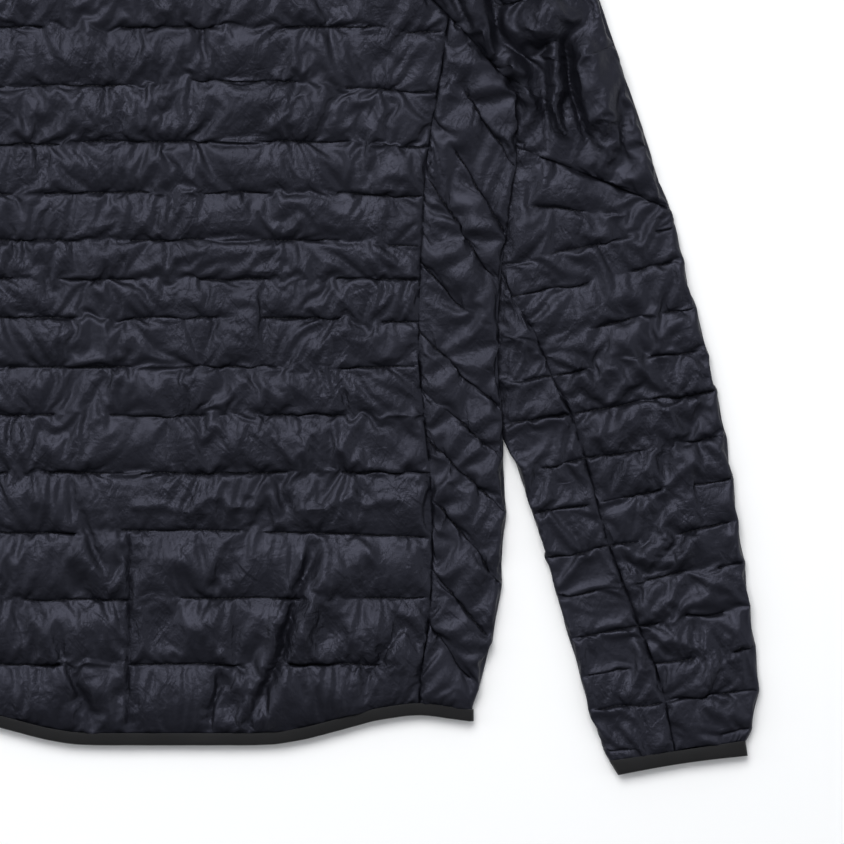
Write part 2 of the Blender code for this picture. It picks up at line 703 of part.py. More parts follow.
def zip_slider():
    """Slider body with the small arch that holds its tab, as one block and a bridge below it."""
    low_y, high_y = SLIDER_MIDDLE - SLIDER_LENGTH / 2, SLIDER_MIDDLE + SLIDER_LENGTH / 2
    arch_y = (-ARCH_REACH - ARCH_BAR, -ARCH_REACH, ARCH_REACH, ARCH_REACH + ARCH_BAR)
    shape = Shape()
    half, bar = SLIDER_HALF, ARCH_HALF_WIDTH
    ys = [SLIDER_MIDDLE + y for y in arch_y]
    lines = [low_y, *ys, high_y]
    columns = [-half, -bar, bar, half]
    foot = [shape.add_row([(x, y, SLIDER_LOW) for x in columns]) for y in lines]
    head = [shape.add_row([(x, y, SLIDER_HIGH) for x in columns]) for y in lines]
    feet = {1, 3}
    for j in range(len(lines) - 1):
        shape.strip(head[j], head[j + 1])
        for i in range(3):
            if not (i == 1 and j in feet):
                shape.face(foot[j][i], foot[j][i + 1], foot[j + 1][i + 1], foot[j + 1][i])
    around = [(0, i) for i in range(4)] + [(j, 3) for j in range(1, 6)]
    around += [(5, i) for i in (2, 1, 0)] + [(j, 0) for j in (4, 3, 2, 1)]
    low_rim = [foot[j][i] for j, i in around]
    high_rim = [head[j][i] for j, i in around]
    shape.strip(low_rim + low_rim[:1], high_rim + high_rim[:1])
    # The arch: two legs from the block and the bar that joins them
    sides = []
    for i, x in ((1, -bar), (2, bar)):
        outside = shape.add_row([(x, ys[0], ARCH_LOW), (x, ys[3], ARCH_LOW)])
        inside = shape.add_row([(x, ys[1], ARCH_HIGH), (x, ys[2], ARCH_HIGH)])
        profile = [foot[1][i], outside[0], outside[1], foot[4][i], foot[3][i], inside[1], inside[0],
                   foot[2][i]]
        shape.face(*profile)
        sides.append(profile)
    left, right = sides
    for k in (0, 1, 2, 4, 5, 6):
        shape.face(left[k], left[k + 1], right[k + 1], right[k])
    return shape


def zip_pull_tab():
    """Flat tab with the hole that the slider's arch passes through. It turns on its root bar."""
    root = SLIDER_MIDDLE
    outside = (-TAB_HALF, TAB_HALF, root - TAB_LENGTH, root + TAB_ROOT)
    hole = (-TAB_HOLE_HALF, TAB_HOLE_HALF, root - TAB_ROOT - TAB_HOLE, root - TAB_ROOT)
    return frame_plate(outside, hole, TAB_HEIGHT - TAB_THICK / 2, TAB_HEIGHT + TAB_THICK / 2)


TOP_Y = back_neck(NECK_HALF - COLLAR_FOLD) + SEAM / 2 + COLLAR_HEIGHT


def lowest_y():
    """The lowest corner of the cuff, which is the outline's nearest point."""
    return min(point[1] for point in cuff_binding().points)


MIDDLE_Y = (TOP_Y + lowest_y()) / 2


def main():
    remove_all_objects()
    nylon = material("navy_nylon", (0.021, 0.022, 0.030), 0.42)
    ribbed = material("binding", (0.020, 0.020, 0.022), 0.85)
    tape = material("zip_tape", (0.015, 0.015, 0.017), 0.8)
    metal = material("zip_metal", (0.10, 0.10, 0.11), 0.35, 0.9)

    back_panel().build("back_panel", nylon)
    collar().build("collar", nylon)
    hem_binding().build("hem_binding", ribbed)
    paired = (("side_panel", side_panel, nylon), ("front", front_panel, nylon),
              ("upper_sleeve", upper_sleeve, nylon), ("top_sleeve", top_sleeve, nylon),
              ("under_sleeve", under_sleeve, nylon), ("cuff_binding", cuff_binding, ribbed),
              ("zip_tape", zip_tape, tape))
    for name, make, finish in paired:
        make().build(name + "_right", finish)
        make().build(name + "_left", finish, mirrored=True)
    zip_slider().build("zip_slider", metal)
    zip_pull_tab().build("zip_pull_tab", metal)


main()
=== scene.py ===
# %% [markdown]
# # Quilted jacket, laid flat with its back up
# The jacket is two thin layers of nylon with a light padding between them, stitched through in short
# dashes that are staggered like bricks. It lies on its front on a pale table, and the camera looks
# straight down on the lower right part of its back and one sleeve.
#
# The frame gives the plain solids of every cut piece. This lesson dresses each of them: the cloth is
# settled as a net of springs between its own lines of stitching, then closed into a wall round the
# plain inside that the solid has.

# %% Load the frame
import math
import bpy
import numpy as np
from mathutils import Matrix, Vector


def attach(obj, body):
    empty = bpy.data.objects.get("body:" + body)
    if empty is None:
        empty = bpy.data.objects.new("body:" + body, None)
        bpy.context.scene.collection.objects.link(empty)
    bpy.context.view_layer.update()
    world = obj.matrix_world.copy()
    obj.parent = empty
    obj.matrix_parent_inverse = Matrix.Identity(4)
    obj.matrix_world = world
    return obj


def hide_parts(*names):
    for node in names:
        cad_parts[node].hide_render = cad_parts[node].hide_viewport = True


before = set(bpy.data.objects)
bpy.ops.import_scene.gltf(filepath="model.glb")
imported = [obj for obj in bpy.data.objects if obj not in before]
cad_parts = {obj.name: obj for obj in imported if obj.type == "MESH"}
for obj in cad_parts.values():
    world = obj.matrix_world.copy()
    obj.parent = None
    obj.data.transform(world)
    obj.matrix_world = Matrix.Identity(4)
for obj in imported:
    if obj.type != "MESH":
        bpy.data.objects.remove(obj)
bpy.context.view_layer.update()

# %% [markdown]
# ## Where things are
# All garment sizes below are in millimetres from the centre back and from the hem's lowest point, as a
# pattern cutter would note them. MIDDLE_Y moves them to the frame's origin.

# %% Sizes shared by every piece
MM = 0.001
MIDDLE_Y = 348.68
CELL = 1.7      # spacing of the net of springs
INSIDE = 4.4                      # plain inside of the upper layer
UNDER = 4.0                       # top of the layer underneath
STITCHED = 6.4                    # height of a line of stitching
SEAM = 0.4
PAST_SEAM = 2.0                   # the layer underneath is joined this far outside the seam on top
SEWN_IN = 0.8                     # how far a quilted edge is caught in its binding
HEM_HEIGHT, CUFF_HEIGHT, CUFF_INSET = 9.0, 11.5, 2.0
BINDING, BINDING_FOLD = 3.4, 3.2
COLLAR_HEIGHT, COLLAR_TAPER = 50.0, 0.94
ZIP_HALF, NECK_HALF, RAGLAN_NECK = 7.0, 80.0, 60.0
BACK_NECK, BACK_NECK_RISE, FRONT_NECK = 660.0, 13.0, 600.0
scene = bpy.context.scene
print("net spacing", CELL, "mm")

# %% [markdown]
# ## Camera
# The photograph looks straight down and shows 633 mm of the jacket. A long lens from six metres away
# keeps the puffs free of perspective, as a catalogue photograph has them.

# %% Camera
FIELD, CAMERA_HEIGHT, SENSOR = 0.633, 6.0, 36.0
PHOTO_MIDDLE = (0.18525, -0.10643)
camera_data = bpy.data.cameras.new("table_camera")
camera_data.lens = SENSOR * CAMERA_HEIGHT / FIELD
camera_data.sensor_width = SENSOR
camera_data.clip_end = 50.0
camera = bpy.data.objects.new("table_camera", camera_data)
camera.location = (*PHOTO_MIDDLE, CAMERA_HEIGHT)
scene.collection.objects.link(camera)
scene.camera = camera
print("lens", round(camera_data.lens, 1), "mm")

# %% [markdown]
# ## Table and light
# A plain white table top, one large soft panel above for the even light, and two long strips at the
# sides that draw a faint gloss along the puffs. The room itself is brighter towards the window side, so
# that each puff has a lit flank and a dark one.

# %% Helpers for nodes and pieces
def plug(tree, node, **inputs):
    """Sets a node's inputs to values or other nodes' outputs, by name, with _ for a space."""
    for label, value in inputs.items():
        slot = node.inputs[label.replace("_", " ")]
        if isinstance(value, bpy.types.NodeSocket):
            tree.links.new(value, slot)
        else:
            slot.default_value = value
    return node


def add(tree, kind, settings=(), **inputs):
    node = tree.nodes.new(kind)
    for label, value in settings:
        setattr(node, label, value)
    return plug(tree, node, **inputs)


def maths(tree, how, first, second=0.0):
    """One step of arithmetic on values or outputs. Gives its output."""
    node = add(tree, "ShaderNodeMath", [("operation", how)])
    for slot, value in zip(node.inputs, (first, second)):
        if isinstance(value, bpy.types.NodeSocket):
            tree.links.new(value, slot)
        else:
            slot.default_value = value
    return node.outputs[0]


def new_material(name):
    """A material with one Principled shader. Gives the material, its nodes and the shader."""
    made = bpy.data.materials.new(name)
    made.use_nodes = True
    tree = made.node_tree
    tree.nodes.clear()
    shader = add(tree, "ShaderNodeBsdfPrincipled")
    add(tree, "ShaderNodeOutputMaterial", Surface=shader.outputs["BSDF"])
    return made, tree, shader


def new_piece(name, points, faces, finish):
    mesh = bpy.data.meshes.new(name)
    mesh.from_pydata(points, [], faces)
    mesh.materials.append(finish)
    piece = bpy.data.objects.new(name, mesh)
    scene.collection.objects.link(piece)
    return piece


# %% Table top
TABLE_HALF, TABLE_LEVEL = 12.0, -0.0006     # metres; just under the cloth, so that they share no plane
table_finish, tree, shader = new_material("white_table")
grain = add(tree, "ShaderNodeTexNoise", Scale=4.0)
tone = add(tree, "ShaderNodeMapRange", Value=grain.outputs["Fac"], To_Min=0.90, To_Max=0.93)
plug(tree, shader, Base_Color=tone.outputs["Result"], Roughness=0.9)
corners = [(x * TABLE_HALF, y * TABLE_HALF, TABLE_LEVEL) for x, y in ((-1, -1), (1, -1), (1, 1), (-1, 1))]
table_top = new_piece("table_top", corners, [(0, 1, 2, 3)], table_finish)
print("table top", 2 * TABLE_HALF, "m across")

# %% Lights
FACED = Vector((0.15, -0.1, 0))             # where the panels point, near the middle of the photo
COOL = (0.95, 0.97, 1.0)


def soft_panel(name, place, size, energy, tint=(1.0, 1.0, 1.0)):
    data = bpy.data.lights.new(name, "AREA")
    data.shape = "RECTANGLE"
    data.size, data.size_y = size
    data.energy, data.color = energy, tint
    lamp = bpy.data.objects.new(name, data)
    lamp.location = place
    lamp.rotation_euler = (FACED - Vector(place)).to_track_quat("-Z", "Y").to_euler()
    scene.collection.objects.link(lamp)


soft_panel("ceiling_panel", (-0.4, 1.7, 2.4), (2.4, 1.8), 80.0)
soft_panel("left_strip", (-2.6, 0.2, 1.1), (0.6, 2.6), 16.0, COOL)
soft_panel("right_strip", (2.7, -0.4, 1.3), (0.6, 2.6), 10.0, COOL)

# %% Room
scene.world = bpy.data.worlds.new("pale_room")
scene.world.use_nodes = True
tree = scene.world.node_tree
sky = add(tree, "ShaderNodeTexCoord")
axes = add(tree, "ShaderNodeSeparateXYZ", Vector=sky.outputs["Generated"])
window_side = add(tree, "ShaderNodeMapRange", Value=axes.outputs["Y"], From_Min=-0.8, From_Max=0.8,
                  To_Min=0.24, To_Max=0.76)
plug(tree, tree.nodes["Background"], Color=(*COOL, 1.0), Strength=window_side.outputs["Result"])
scene.view_settings.view_transform = "Standard"
print("room", scene.world.name)

# %% [markdown]
# ## Shared effects
# The shell, the bindings and the tapes are all woven or knitted from yarn, all crease, and all vary a
# little in colour. Each effect is one node group, with its own sizes set where it is used.

# %% Start of an effect
def effect(name, output, **inputs):
    """A node group with named number inputs and one output. Gives it, its inputs and its end."""
    group = bpy.data.node_groups.new(name, "ShaderNodeTree")
    for label, value in inputs.items():
        made = group.interface.new_socket(name=label.replace("_", " "), in_out="INPUT",
                                          socket_type="NodeSocketFloat")
        made.default_value = value
    group.interface.new_socket(name=output, in_out="OUTPUT", socket_type="NodeSocketFloat")
    return group, add(group, "NodeGroupInput").outputs, add(group, "NodeGroupOutput")


# %% Plain weave: yarns over and under, on the cloth's own two directions
weave, given, end = effect("plain_weave", "Height", Yarn_Pitch=0.0004, Slub=0.3)
on_cloth = add(weave, "ShaderNodeUVMap", [("uv_map", "cloth")]).outputs["UV"]
parts = add(weave, "ShaderNodeSeparateXYZ", Vector=on_cloth)
per_pitch = maths(weave, "DIVIDE", math.pi, given["Yarn Pitch"])
across, along = [maths(weave, "SINE", maths(weave, "MULTIPLY", parts.outputs[axis], per_pitch))
                 for axis in "XY"]
slub = add(weave, "ShaderNodeTexNoise", Scale=900.0, Vector=on_cloth)
uneven = maths(weave, "MULTIPLY", slub.outputs["Fac"], given["Slub"])
plug(weave, end, Height=maths(weave, "ADD", maths(weave, "MULTIPLY", across, along), uneven))
print("effect", weave.name)

# %% Crumple: the small sharp creases that thin nylon keeps, drawn out along one direction
crumple, given, end = effect("crumple", "Height", Scale=90.0, Sharpness=0.5, Length=2.0, Angle=0.0)
where = add(crumple, "ShaderNodeTexCoord")
turned = add(crumple, "ShaderNodeVectorRotate", [("rotation_type", "Z_AXIS")],
             Vector=where.outputs["Object"], Angle=given["Angle"])
axes = add(crumple, "ShaderNodeSeparateXYZ", Vector=turned.outputs[0])
drawn_out = add(crumple, "ShaderNodeCombineXYZ", X=axes.outputs["X"], Z=axes.outputs["Z"],
                Y=maths(crumple, "DIVIDE", axes.outputs["Y"], given["Length"]))
wide = add(crumple, "ShaderNodeTexNoise", Detail=3.0, Distortion=0.25, Scale=given["Scale"],
           Vector=drawn_out.outputs[0])
ridge = maths(crumple, "ABSOLUTE", maths(crumple, "SUBTRACT", wide.outputs["Fac"], 0.5))
sharp = maths(crumple, "MULTIPLY", ridge, given["Sharpness"])
soft = maths(crumple, "MULTIPLY", wide.outputs["Fac"], 0.5)
plug(crumple, end, Height=maths(crumple, "SUBTRACT", soft, sharp))
print("effect", crumple.name)

# %% Mottle: slow change of tone, as dye and handling leave it
mottle, given, end = effect("mottle", "Value", Scale=9.0, Low=0.9, High=1.1)
where = add(mottle, "ShaderNodeTexCoord")
cloud = add(mottle, "ShaderNodeTexNoise", Detail=4.0, Scale=given["Scale"], Vector=where.outputs["Object"])
spread = add(mottle, "ShaderNodeMapRange", Value=cloud.outputs["Fac"], From_Min=0.3, From_Max=0.7,
             To_Min=given["Low"], To_Max=given["High"])
plug(mottle, end, Value=spread.outputs["Result"])
print("effect", mottle.name)

# %% [markdown]
# ## Finishes
# The shell is a downproof nylon: very fine plain weave, pressed smooth, so that it shines softly where a
# puff turns to the light. Its colour is a navy that is nearly black. The bindings are a dull ribbed
# elastic. The sewing thread is a spun polyester a little lighter than the cloth.

# %% Cloth materials
# Four sets of small creases lie over each other: how much finer, angle, share
CREASE_SETS = ((1.0, 0.5, 1.0), (1.3, -0.7, 0.8), (2.4, 0.1, 0.35), (1.7, 1.4, 0.4))


def use(tree, group, **inputs):
    """Adds a shared effect, and gives its output."""
    return add(tree, "ShaderNodeGroup", [("node_tree", group)], **inputs).outputs[0]


def cloth_material(name, colour, rough, yarn, creases, specular, sheen=0.0, gleam=(1.0, 1.0, 1.0)):
    """Woven cloth. yarn is (pitch, bump) in metres, and creases is (number per metre, bump in metres)."""
    made, tree, shader = new_material(name)
    tint = add(tree, "ShaderNodeVectorMath", [("operation", "SCALE")],
               Scale=use(tree, mottle, Scale=11.0, Low=0.85, High=1.15))
    tint.inputs[0].default_value = colour
    sets = [use(tree, crumple, Scale=creases[0] * finer, Sharpness=0.9, Length=2.6, Angle=angle)
            for finer, angle, _ in CREASE_SETS]
    sets = [maths(tree, "MULTIPLY", crease, share) for crease, (*_, share) in zip(sets, CREASE_SETS)]
    height = sets[0]
    for crease in sets[1:]:
        height = maths(tree, "ADD", height, crease)
    height = maths(tree, "MULTIPLY", height, use(tree, mottle, Scale=22.0, Low=0.1, High=1.5))
    fine = add(tree, "ShaderNodeBump", Distance=yarn[1], Height=use(tree, weave, Yarn_Pitch=yarn[0]))
    broad = add(tree, "ShaderNodeBump", Distance=creases[1], Height=height, Normal=fine.outputs["Normal"])
    plug(tree, shader, Base_Color=tint.outputs["Vector"], Normal=broad.outputs["Normal"],
         Roughness=use(tree, mottle, Scale=35.0, Low=rough[0], High=rough[1]),
         Specular_IOR_Level=specular, Specular_Tint=(*gleam, 1.0), Sheen_Weight=sheen, Sheen_Roughness=0.45)
    return made


nylon = cloth_material("navy_nylon", (0.0050, 0.0052, 0.0075), (0.40, 0.52), (0.0003, 0.000012),
                       (70.0, 0.0023), 0.33, gleam=(0.73, 0.75, 1.0))
ribbing = cloth_material("ribbed_binding", (0.0072, 0.0072, 0.0079), (0.8, 0.92), (0.0006, 0.00008),
                         (60.0, 0.0004), 0.25, sheen=0.12)
tape_cloth = cloth_material("zip_tape_twill", (0.013, 0.013, 0.015), (0.75, 0.88), (0.0007, 0.00006),
                            (60.0, 0.0002), 0.3, sheen=0.05)
thread = cloth_material("sewing_thread", (0.008, 0.008, 0.011), (0.5, 0.65), (0.0004, 0.00005),
                        (300.0, 0.0001), 0.4)
print("finishes", [m.name for m in bpy.data.materials])

# %% [markdown]
# ## Smooth lines
# A pattern is drawn with a few points and smooth lines through them. This is a cubic that never swings
# past its points, so that a seam has no waves the maker didn't draw.

# %% Smooth line through the points of a table
def line_through(rows, at, key=0, value=1):
    rows = sorted(rows, key=lambda row: row[key])
    xs = np.array([row[key] for row in rows], float)
    ys = np.array([row[value] for row in rows], float)
    slopes = np.diff(ys) / np.diff(xs)
    tangents = np.zeros(len(xs))
    tangents[0], tangents[-1] = slopes[0], slopes[-1]
    same = slopes[:-1] * slopes[1:] > 0
    harmonic = np.zeros(len(slopes) - 1)
    harmonic[same] = 2 / (1 / slopes[:-1][same] + 1 / slopes[1:][same])
    tangents[1:-1] = harmonic
    at = np.clip(np.asarray(at, float), xs[0], xs[-1])
    i = np.clip(np.searchsorted(xs, at, side="right") - 1, 0, len(xs) - 2)
    width = xs[i + 1] - xs[i]
    t = (at - xs[i]) / width
    return ((2 * t ** 3 - 3 * t ** 2 + 1) * ys[i] + (t ** 3 - 2 * t ** 2 + t) * width * tangents[i]
            + (3 * t ** 2 - 2 * t ** 3) * ys[i + 1] + (t ** 3 - t ** 2) * width * tangents[i + 1])


def ease(t):
    t = np.clip(t, 0.0, 1.0)
    return t * t * (3 - 2 * t)


# %% Pattern lines of the jacket
HEM_CURVE = ((0, 0), (50, 0), (72, 0.6), (94, 3.8), (124, 11.3), (154, 19.0), (184, 22.5), (206, 20.0),
             (224, 17.5))
SIDE_SEAM = ((20, 183.2), (50, 184.2), (86, 189.8), (120, 192.2), (155, 193.5), (200, 192.0),
             (245, 186.8), (300, 183.0), (365, 184.5), (415, 187.0), (460, 192.0), (500, 198.8),
             (546, 205.5))
BODY_EDGE = ((18, 222.0), (34, 228.0), (56, 234.8), (86, 242.3), (116, 246.5), (154, 249.3),
             (184, 250.8), (212, 248.3), (251, 244.5), (306, 242.0), (350, 244.5), (383, 248.0),
             (410, 252.5), (440, 256.0), (466, 257.5), (490, 256.0))
RAGLAN = ((256.0, 490.0), (205.5, 546.0), (180.0, 572.0), (140.0, 606.0), (100.0, 637.5), (60.0, 667.0))


def hem_line(x):
    return line_through(HEM_CURVE, np.abs(x))


def back_neck(x):
    return BACK_NECK + BACK_NECK_RISE * (np.asarray(x, float) / NECK_HALF) ** 2


def front_neck(x, gap=0.0):
    x = np.asarray(x, float)
    side = BACK_NECK + BACK_NECK_RISE * (RAGLAN_NECK / NECK_HALF) ** 2
    slope = 2 * (side - FRONT_NECK) * x / RAGLAN_NECK ** 2
    deep = side - (side - FRONT_NECK) * (1 - (x / RAGLAN_NECK) ** 2) + gap * np.hypot(1, slope)
    return np.where(np.abs(x) >= RAGLAN_NECK, back_neck(x) + gap, deep)


def back_half_width(y):
    return np.where(y <= SIDE_SEAM[-1][0], line_through(SIDE_SEAM, y),
                    line_through(RAGLAN[1:], y, key=1, value=0))


print("hem at the side", float(hem_line(184)), "mm up")

# %% [markdown]
# ## Settling cloth between its stitches
# A quilted shell is cut a little larger than its lining, and the spare length stands up between the
# stitches as puffs and puckers. Blender's Cloth could swell each panel, but it would need the seams and
# every dash pinned in vertex groups. So the same idea is written out: a
# net of springs, each a little longer than the plan allows, starts as round puffs with small crinkles
# and settles while the stitched points stay. Springs are solved in sets that share no point, so that
# whole arrays move at once, and the result is the same on every run.

# %% Net of springs
SLANTING, BEND = 0.35, 0.055      # strength of the springs over two corners, and over two steps


def spring_sets(rest, spare):
    """Springs of a grid, in sets where no two touch: (first slice, second slice, length, strength).
    spare is the spare length across and along at every point."""
    n, m = rest.shape[:2]
    full = slice(None)
    across, along = spare
    both = (across + along) / 2
    sets = []

    def join(first, second, more, strength):
        length = np.linalg.norm(rest[first] - rest[second], axis=-1)
        length = length * (1 + (more[first] + more[second]) / 2)
        sets.append((first, second, length.astype(np.float32), strength))

    for p in (0, 1):
        join((full, slice(p, m - 1, 2)), (full, slice(p + 1, m, 2)), across, 1.0)
        join((slice(p, n - 1, 2), full), (slice(p + 1, n, 2), full), along, 1.0)
    for p in (0, 1):
        join((slice(p, n - 1, 2), slice(0, m - 1)), (slice(p + 1, n, 2), slice(1, m)), both, SLANTING)
        join((slice(p, n - 1, 2), slice(1, m)), (slice(p + 1, n, 2), slice(0, m - 1)), both, SLANTING)
    for p in range(4):
        join((full, slice(p, m - 2, 4)), (full, slice(p + 2, m, 4)), across, BEND)
        join((slice(p, n - 2, 4), full), (slice(p + 2, n, 4), full), along, BEND)
    return sets


def outward(points):
    """Unit normals of a grid of points."""
    normal = np.cross(np.gradient(points, axis=1), np.gradient(points, axis=0))
    return normal / (np.linalg.norm(normal, axis=-1, keepdims=True) + 1e-9)


# %% Uneven cloth: soft random patches over the plan
def patches(x, y, size, seed):
    """A smooth random field from -1 to 1 that changes over the given size in millimetres."""
    table = np.random.default_rng(seed).uniform(-1, 1, size=(64, 64))
    u, v = x / size + 7.3, y / size + 3.1
    i, j = np.floor(u).astype(int), np.floor(v).astype(int)
    fu, fv = ease(u - i), ease(v - j)
    corner = [[table[(i + a) % 64, (j + b) % 64] for b in (0, 1)] for a in (0, 1)]
    low = corner[0][0] * (1 - fu) + corner[1][0] * fu
    high = corner[0][1] * (1 - fu) + corner[1][1] * fu
    return low * (1 - fv) + high * fv


# %% Soft corners and gathers
GATHER, GATHER_REACH = 0.03, 5.0  # extra spare length along a dash, and how far it reaches


def soften(points, held, drawn):
    """Takes the corners off folds that are as narrow as the net, most of all where cloth is drawn tight."""
    for share in (1.0, drawn, drawn):
        wide = np.pad(points, ((1, 1), (1, 1), (0, 0)), mode="edge")
        mean = (wide[:-2, 1:-1] + wide[2:, 1:-1] + wide[1:-1, :-2] + wide[1:-1, 2:]) / 4
        blend = np.where(held, 0.0, 0.5 * share)[..., None]
        points = points + blend * (mean - points)
    return points


def dash_nearness(base, held):
    """1 beside a held point of the same column, falling to 0 a little way along the column."""
    run = np.linalg.norm(np.diff(base, axis=0, prepend=base[:1]), axis=-1)
    near = np.zeros(held.shape)
    for order in (1, -1):
        away = np.full(held.shape[1], 1e3)
        for row in range(len(held))[::order]:
            step = run[row] if order == 1 else run[min(row + 1, len(held) - 1)]
            away = np.where(held[row], 0.0, away + step)
            near[row] = np.maximum(near[row], np.exp(-(away / GATHER_REACH) ** 2))
    return near


# %% Settle a panel
STEPS = 150
DAMPING = 0.9
WARPS = ((12, 2.4), (26, 2.0))    # how far the grain wanders over a size, which makes slanting folds
# Small creases that the cloth starts with: size, angle, how much longer than wide, height
CRINKLES = ((10, 1.1, 2.4, 1.9), (9, -0.9, 2.2, 1.8), (7, 1.5, 2.0, 1.0), (13, 0.15, 2.0, 2.2),
            (22, 0.8, 2.0, 2.6))
ROUGHNESS = 0.12                  # random height between neighbouring points at the start
SPARE_ACROSS, SPARE_ALONG, PUFF_TOPS = (38, 0.7), (45, 0.5), (30, 0.45)  # size of patches, how uneven
SAG, PRESSED = 0.6, 0.3           # how far cloth may sink, and the share of a puff's excess that yields


def settle(base, held, fullness, start, limit, seed, calm=0.0, folded=(0.0, 0.0)):
    """base is the stitched surface (rows, columns, 3). held points stay. fullness is the spare length
    (across, along). start is the first height of the puffs and limit the greatest. calm is 0 to 1.
    folded is the spare length (across, along) that stands beside a crease."""
    x, y = base[..., 0], base[..., 1]
    loose = 1 - calm
    rest = base.copy()
    for number, (size, stray) in enumerate(WARPS):
        for axis in (0, 1):
            rest[..., axis] += stray * patches(x, y, size, seed + 1 + 10 * number + 2 * axis) * loose
    gathered = GATHER * dash_nearness(base, held) * loose
    uneven = 1 + SPARE_ACROSS[1] * patches(x, y, SPARE_ACROSS[0], seed + 5)
    across = fullness[0] * uneven + gathered + folded[0]
    uneven = 1 + SPARE_ALONG[1] * patches(x, y, SPARE_ALONG[0], seed + 6)
    along = fullness[1] * loose * uneven + folded[1]
    crinkle = np.random.default_rng(seed).normal(size=held.shape) * ROUGHNESS
    for number, (size, angle, longer, height) in enumerate(CRINKLES):
        u = (math.cos(angle) * x + math.sin(angle) * y) / longer
        v = math.cos(angle) * y - math.sin(angle) * x
        crease = np.abs(patches(u, v, size, seed + 40 + number)) ** 0.7 - 0.5
        crinkle += height * crease * loose * np.minimum(start / 2, 1)
    free = np.where(held, 0.0, 1.0).astype(np.float32)[..., None]
    base = base.astype(np.float32)
    points = base + outward(base) * (start + crinkle)[..., None].astype(np.float32) * free
    tops = limit * (1 + PUFF_TOPS[1] * patches(x, y, PUFF_TOPS[0], seed + 7))
    top = base[..., 2] + tops.astype(np.float32)
    low = np.maximum(base[..., 2] - SAG, 0.0)
    sets = spring_sets(rest, (across, along))
    before = points.copy()
    for _ in range(STEPS):
        points, before = points + DAMPING * (points - before), points
        for first, second, length, strength in sets:
            a, b = points[first], points[second]
            gap = b - a
            far = np.sqrt((gap * gap).sum(-1)) + 1e-9
            wa, wb = free[first], free[second]
            share = (strength * (far - length) / far)[..., None] * gap / (wa + wb + 1e-9)
            points[first] = a + share * wa
            points[second] = b - share * wb
        z = points[..., 2]
        z -= PRESSED * np.maximum(z - top, 0)
        np.maximum(z, low, out=z)
        points = np.where(held[..., None], base, points)
    return points


print(STEPS, "steps for each panel")

# %% [markdown]
# ## From a net to a cloth wall
# Every piece is built as loops, one per row of the net: the settled outside, then back along the plain
# inside. Neighbouring loops are joined by quads and the two ends are closed, so each piece is one closed
# wall with a place on the cloth for every corner.

# %% Build a piece from its loops
CLOTH_EDGE = math.radians(50)     # a wall's edges that turn more than this stay sharp


def build_piece(name, loops, finish, ring=False):
    """loops is (rows, points, 3) in garment millimetres. A ring joins its last loop to its first."""
    n, k = loops.shape[:2]
    points = loops.reshape(-1, 3).astype(float) * MM
    points[:, 1] -= MIDDLE_Y * MM
    i, j = np.meshgrid(np.arange(n if ring else n - 1), np.arange(k), indexing="ij")
    i2, j2 = (i + 1) % n, (j + 1) % k
    quads = np.stack([i * k + j, i * k + j2, i2 * k + j2, i2 * k + j], -1).reshape(-1, 4)
    faces = [tuple(q) for q in quads.tolist()]
    if not ring:
        faces.append(tuple(range(k - 1, -1, -1)))
        faces.append(tuple((n - 1) * k + c for c in range(k)))
    piece = new_piece(name, points.tolist(), faces, finish)
    mesh = piece.data
    run = np.linalg.norm(np.diff(loops, axis=1, append=loops[:, :1]), axis=-1).mean(0)
    rise = np.linalg.norm(np.diff(loops, axis=0, append=loops[:1]), axis=-1).mean(1)
    u, v = [np.concatenate([[0], np.cumsum(steps)]) * MM for steps in (run, rise)]
    place = np.stack([np.stack([u[j + a], v[i + b]], -1) for a, b in ((0, 0), (1, 0), (1, 1), (0, 1))], 2)
    spots = np.zeros((len(mesh.loops), 2))
    spots[:quads.size] = place.reshape(-1, 2)
    mesh.uv_layers.new(name="cloth").data.foreach_set("uv", spots.ravel())
    mesh.validate()
    if signed_volume(mesh) < 0:
        mesh.flip_normals()
    mesh.shade_smooth()
    mesh.set_sharp_from_angle(angle=CLOTH_EDGE)
    return piece


def signed_volume(mesh):
    mesh.calc_loop_triangles()
    corners = np.array([t.vertices[:] for t in mesh.loop_triangles])
    at = np.array([v.co for v in mesh.vertices])
    a, b, c = at[corners[:, 0]], at[corners[:, 1]], at[corners[:, 2]]
    return float((a * np.cross(b, c)).sum() / 6)


def finish_piece(piece, node, slot, width, length, area):
    """Hides the solid that a cloth piece dresses, ties the piece to its body, and states its cut. The
    material slot is not used.
    """
    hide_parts(node)
    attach(piece, "jacket")
    print(piece.name, len(piece.data.vertices), "points, cut", round(width), "x", round(length), "mm")


MIRROR = np.array([-1.0, 1.0, 1.0])
SIDES = (("right", 1.0), ("left", MIRROR))
print("left pieces are the right ones mirrored, with puckers of their own")
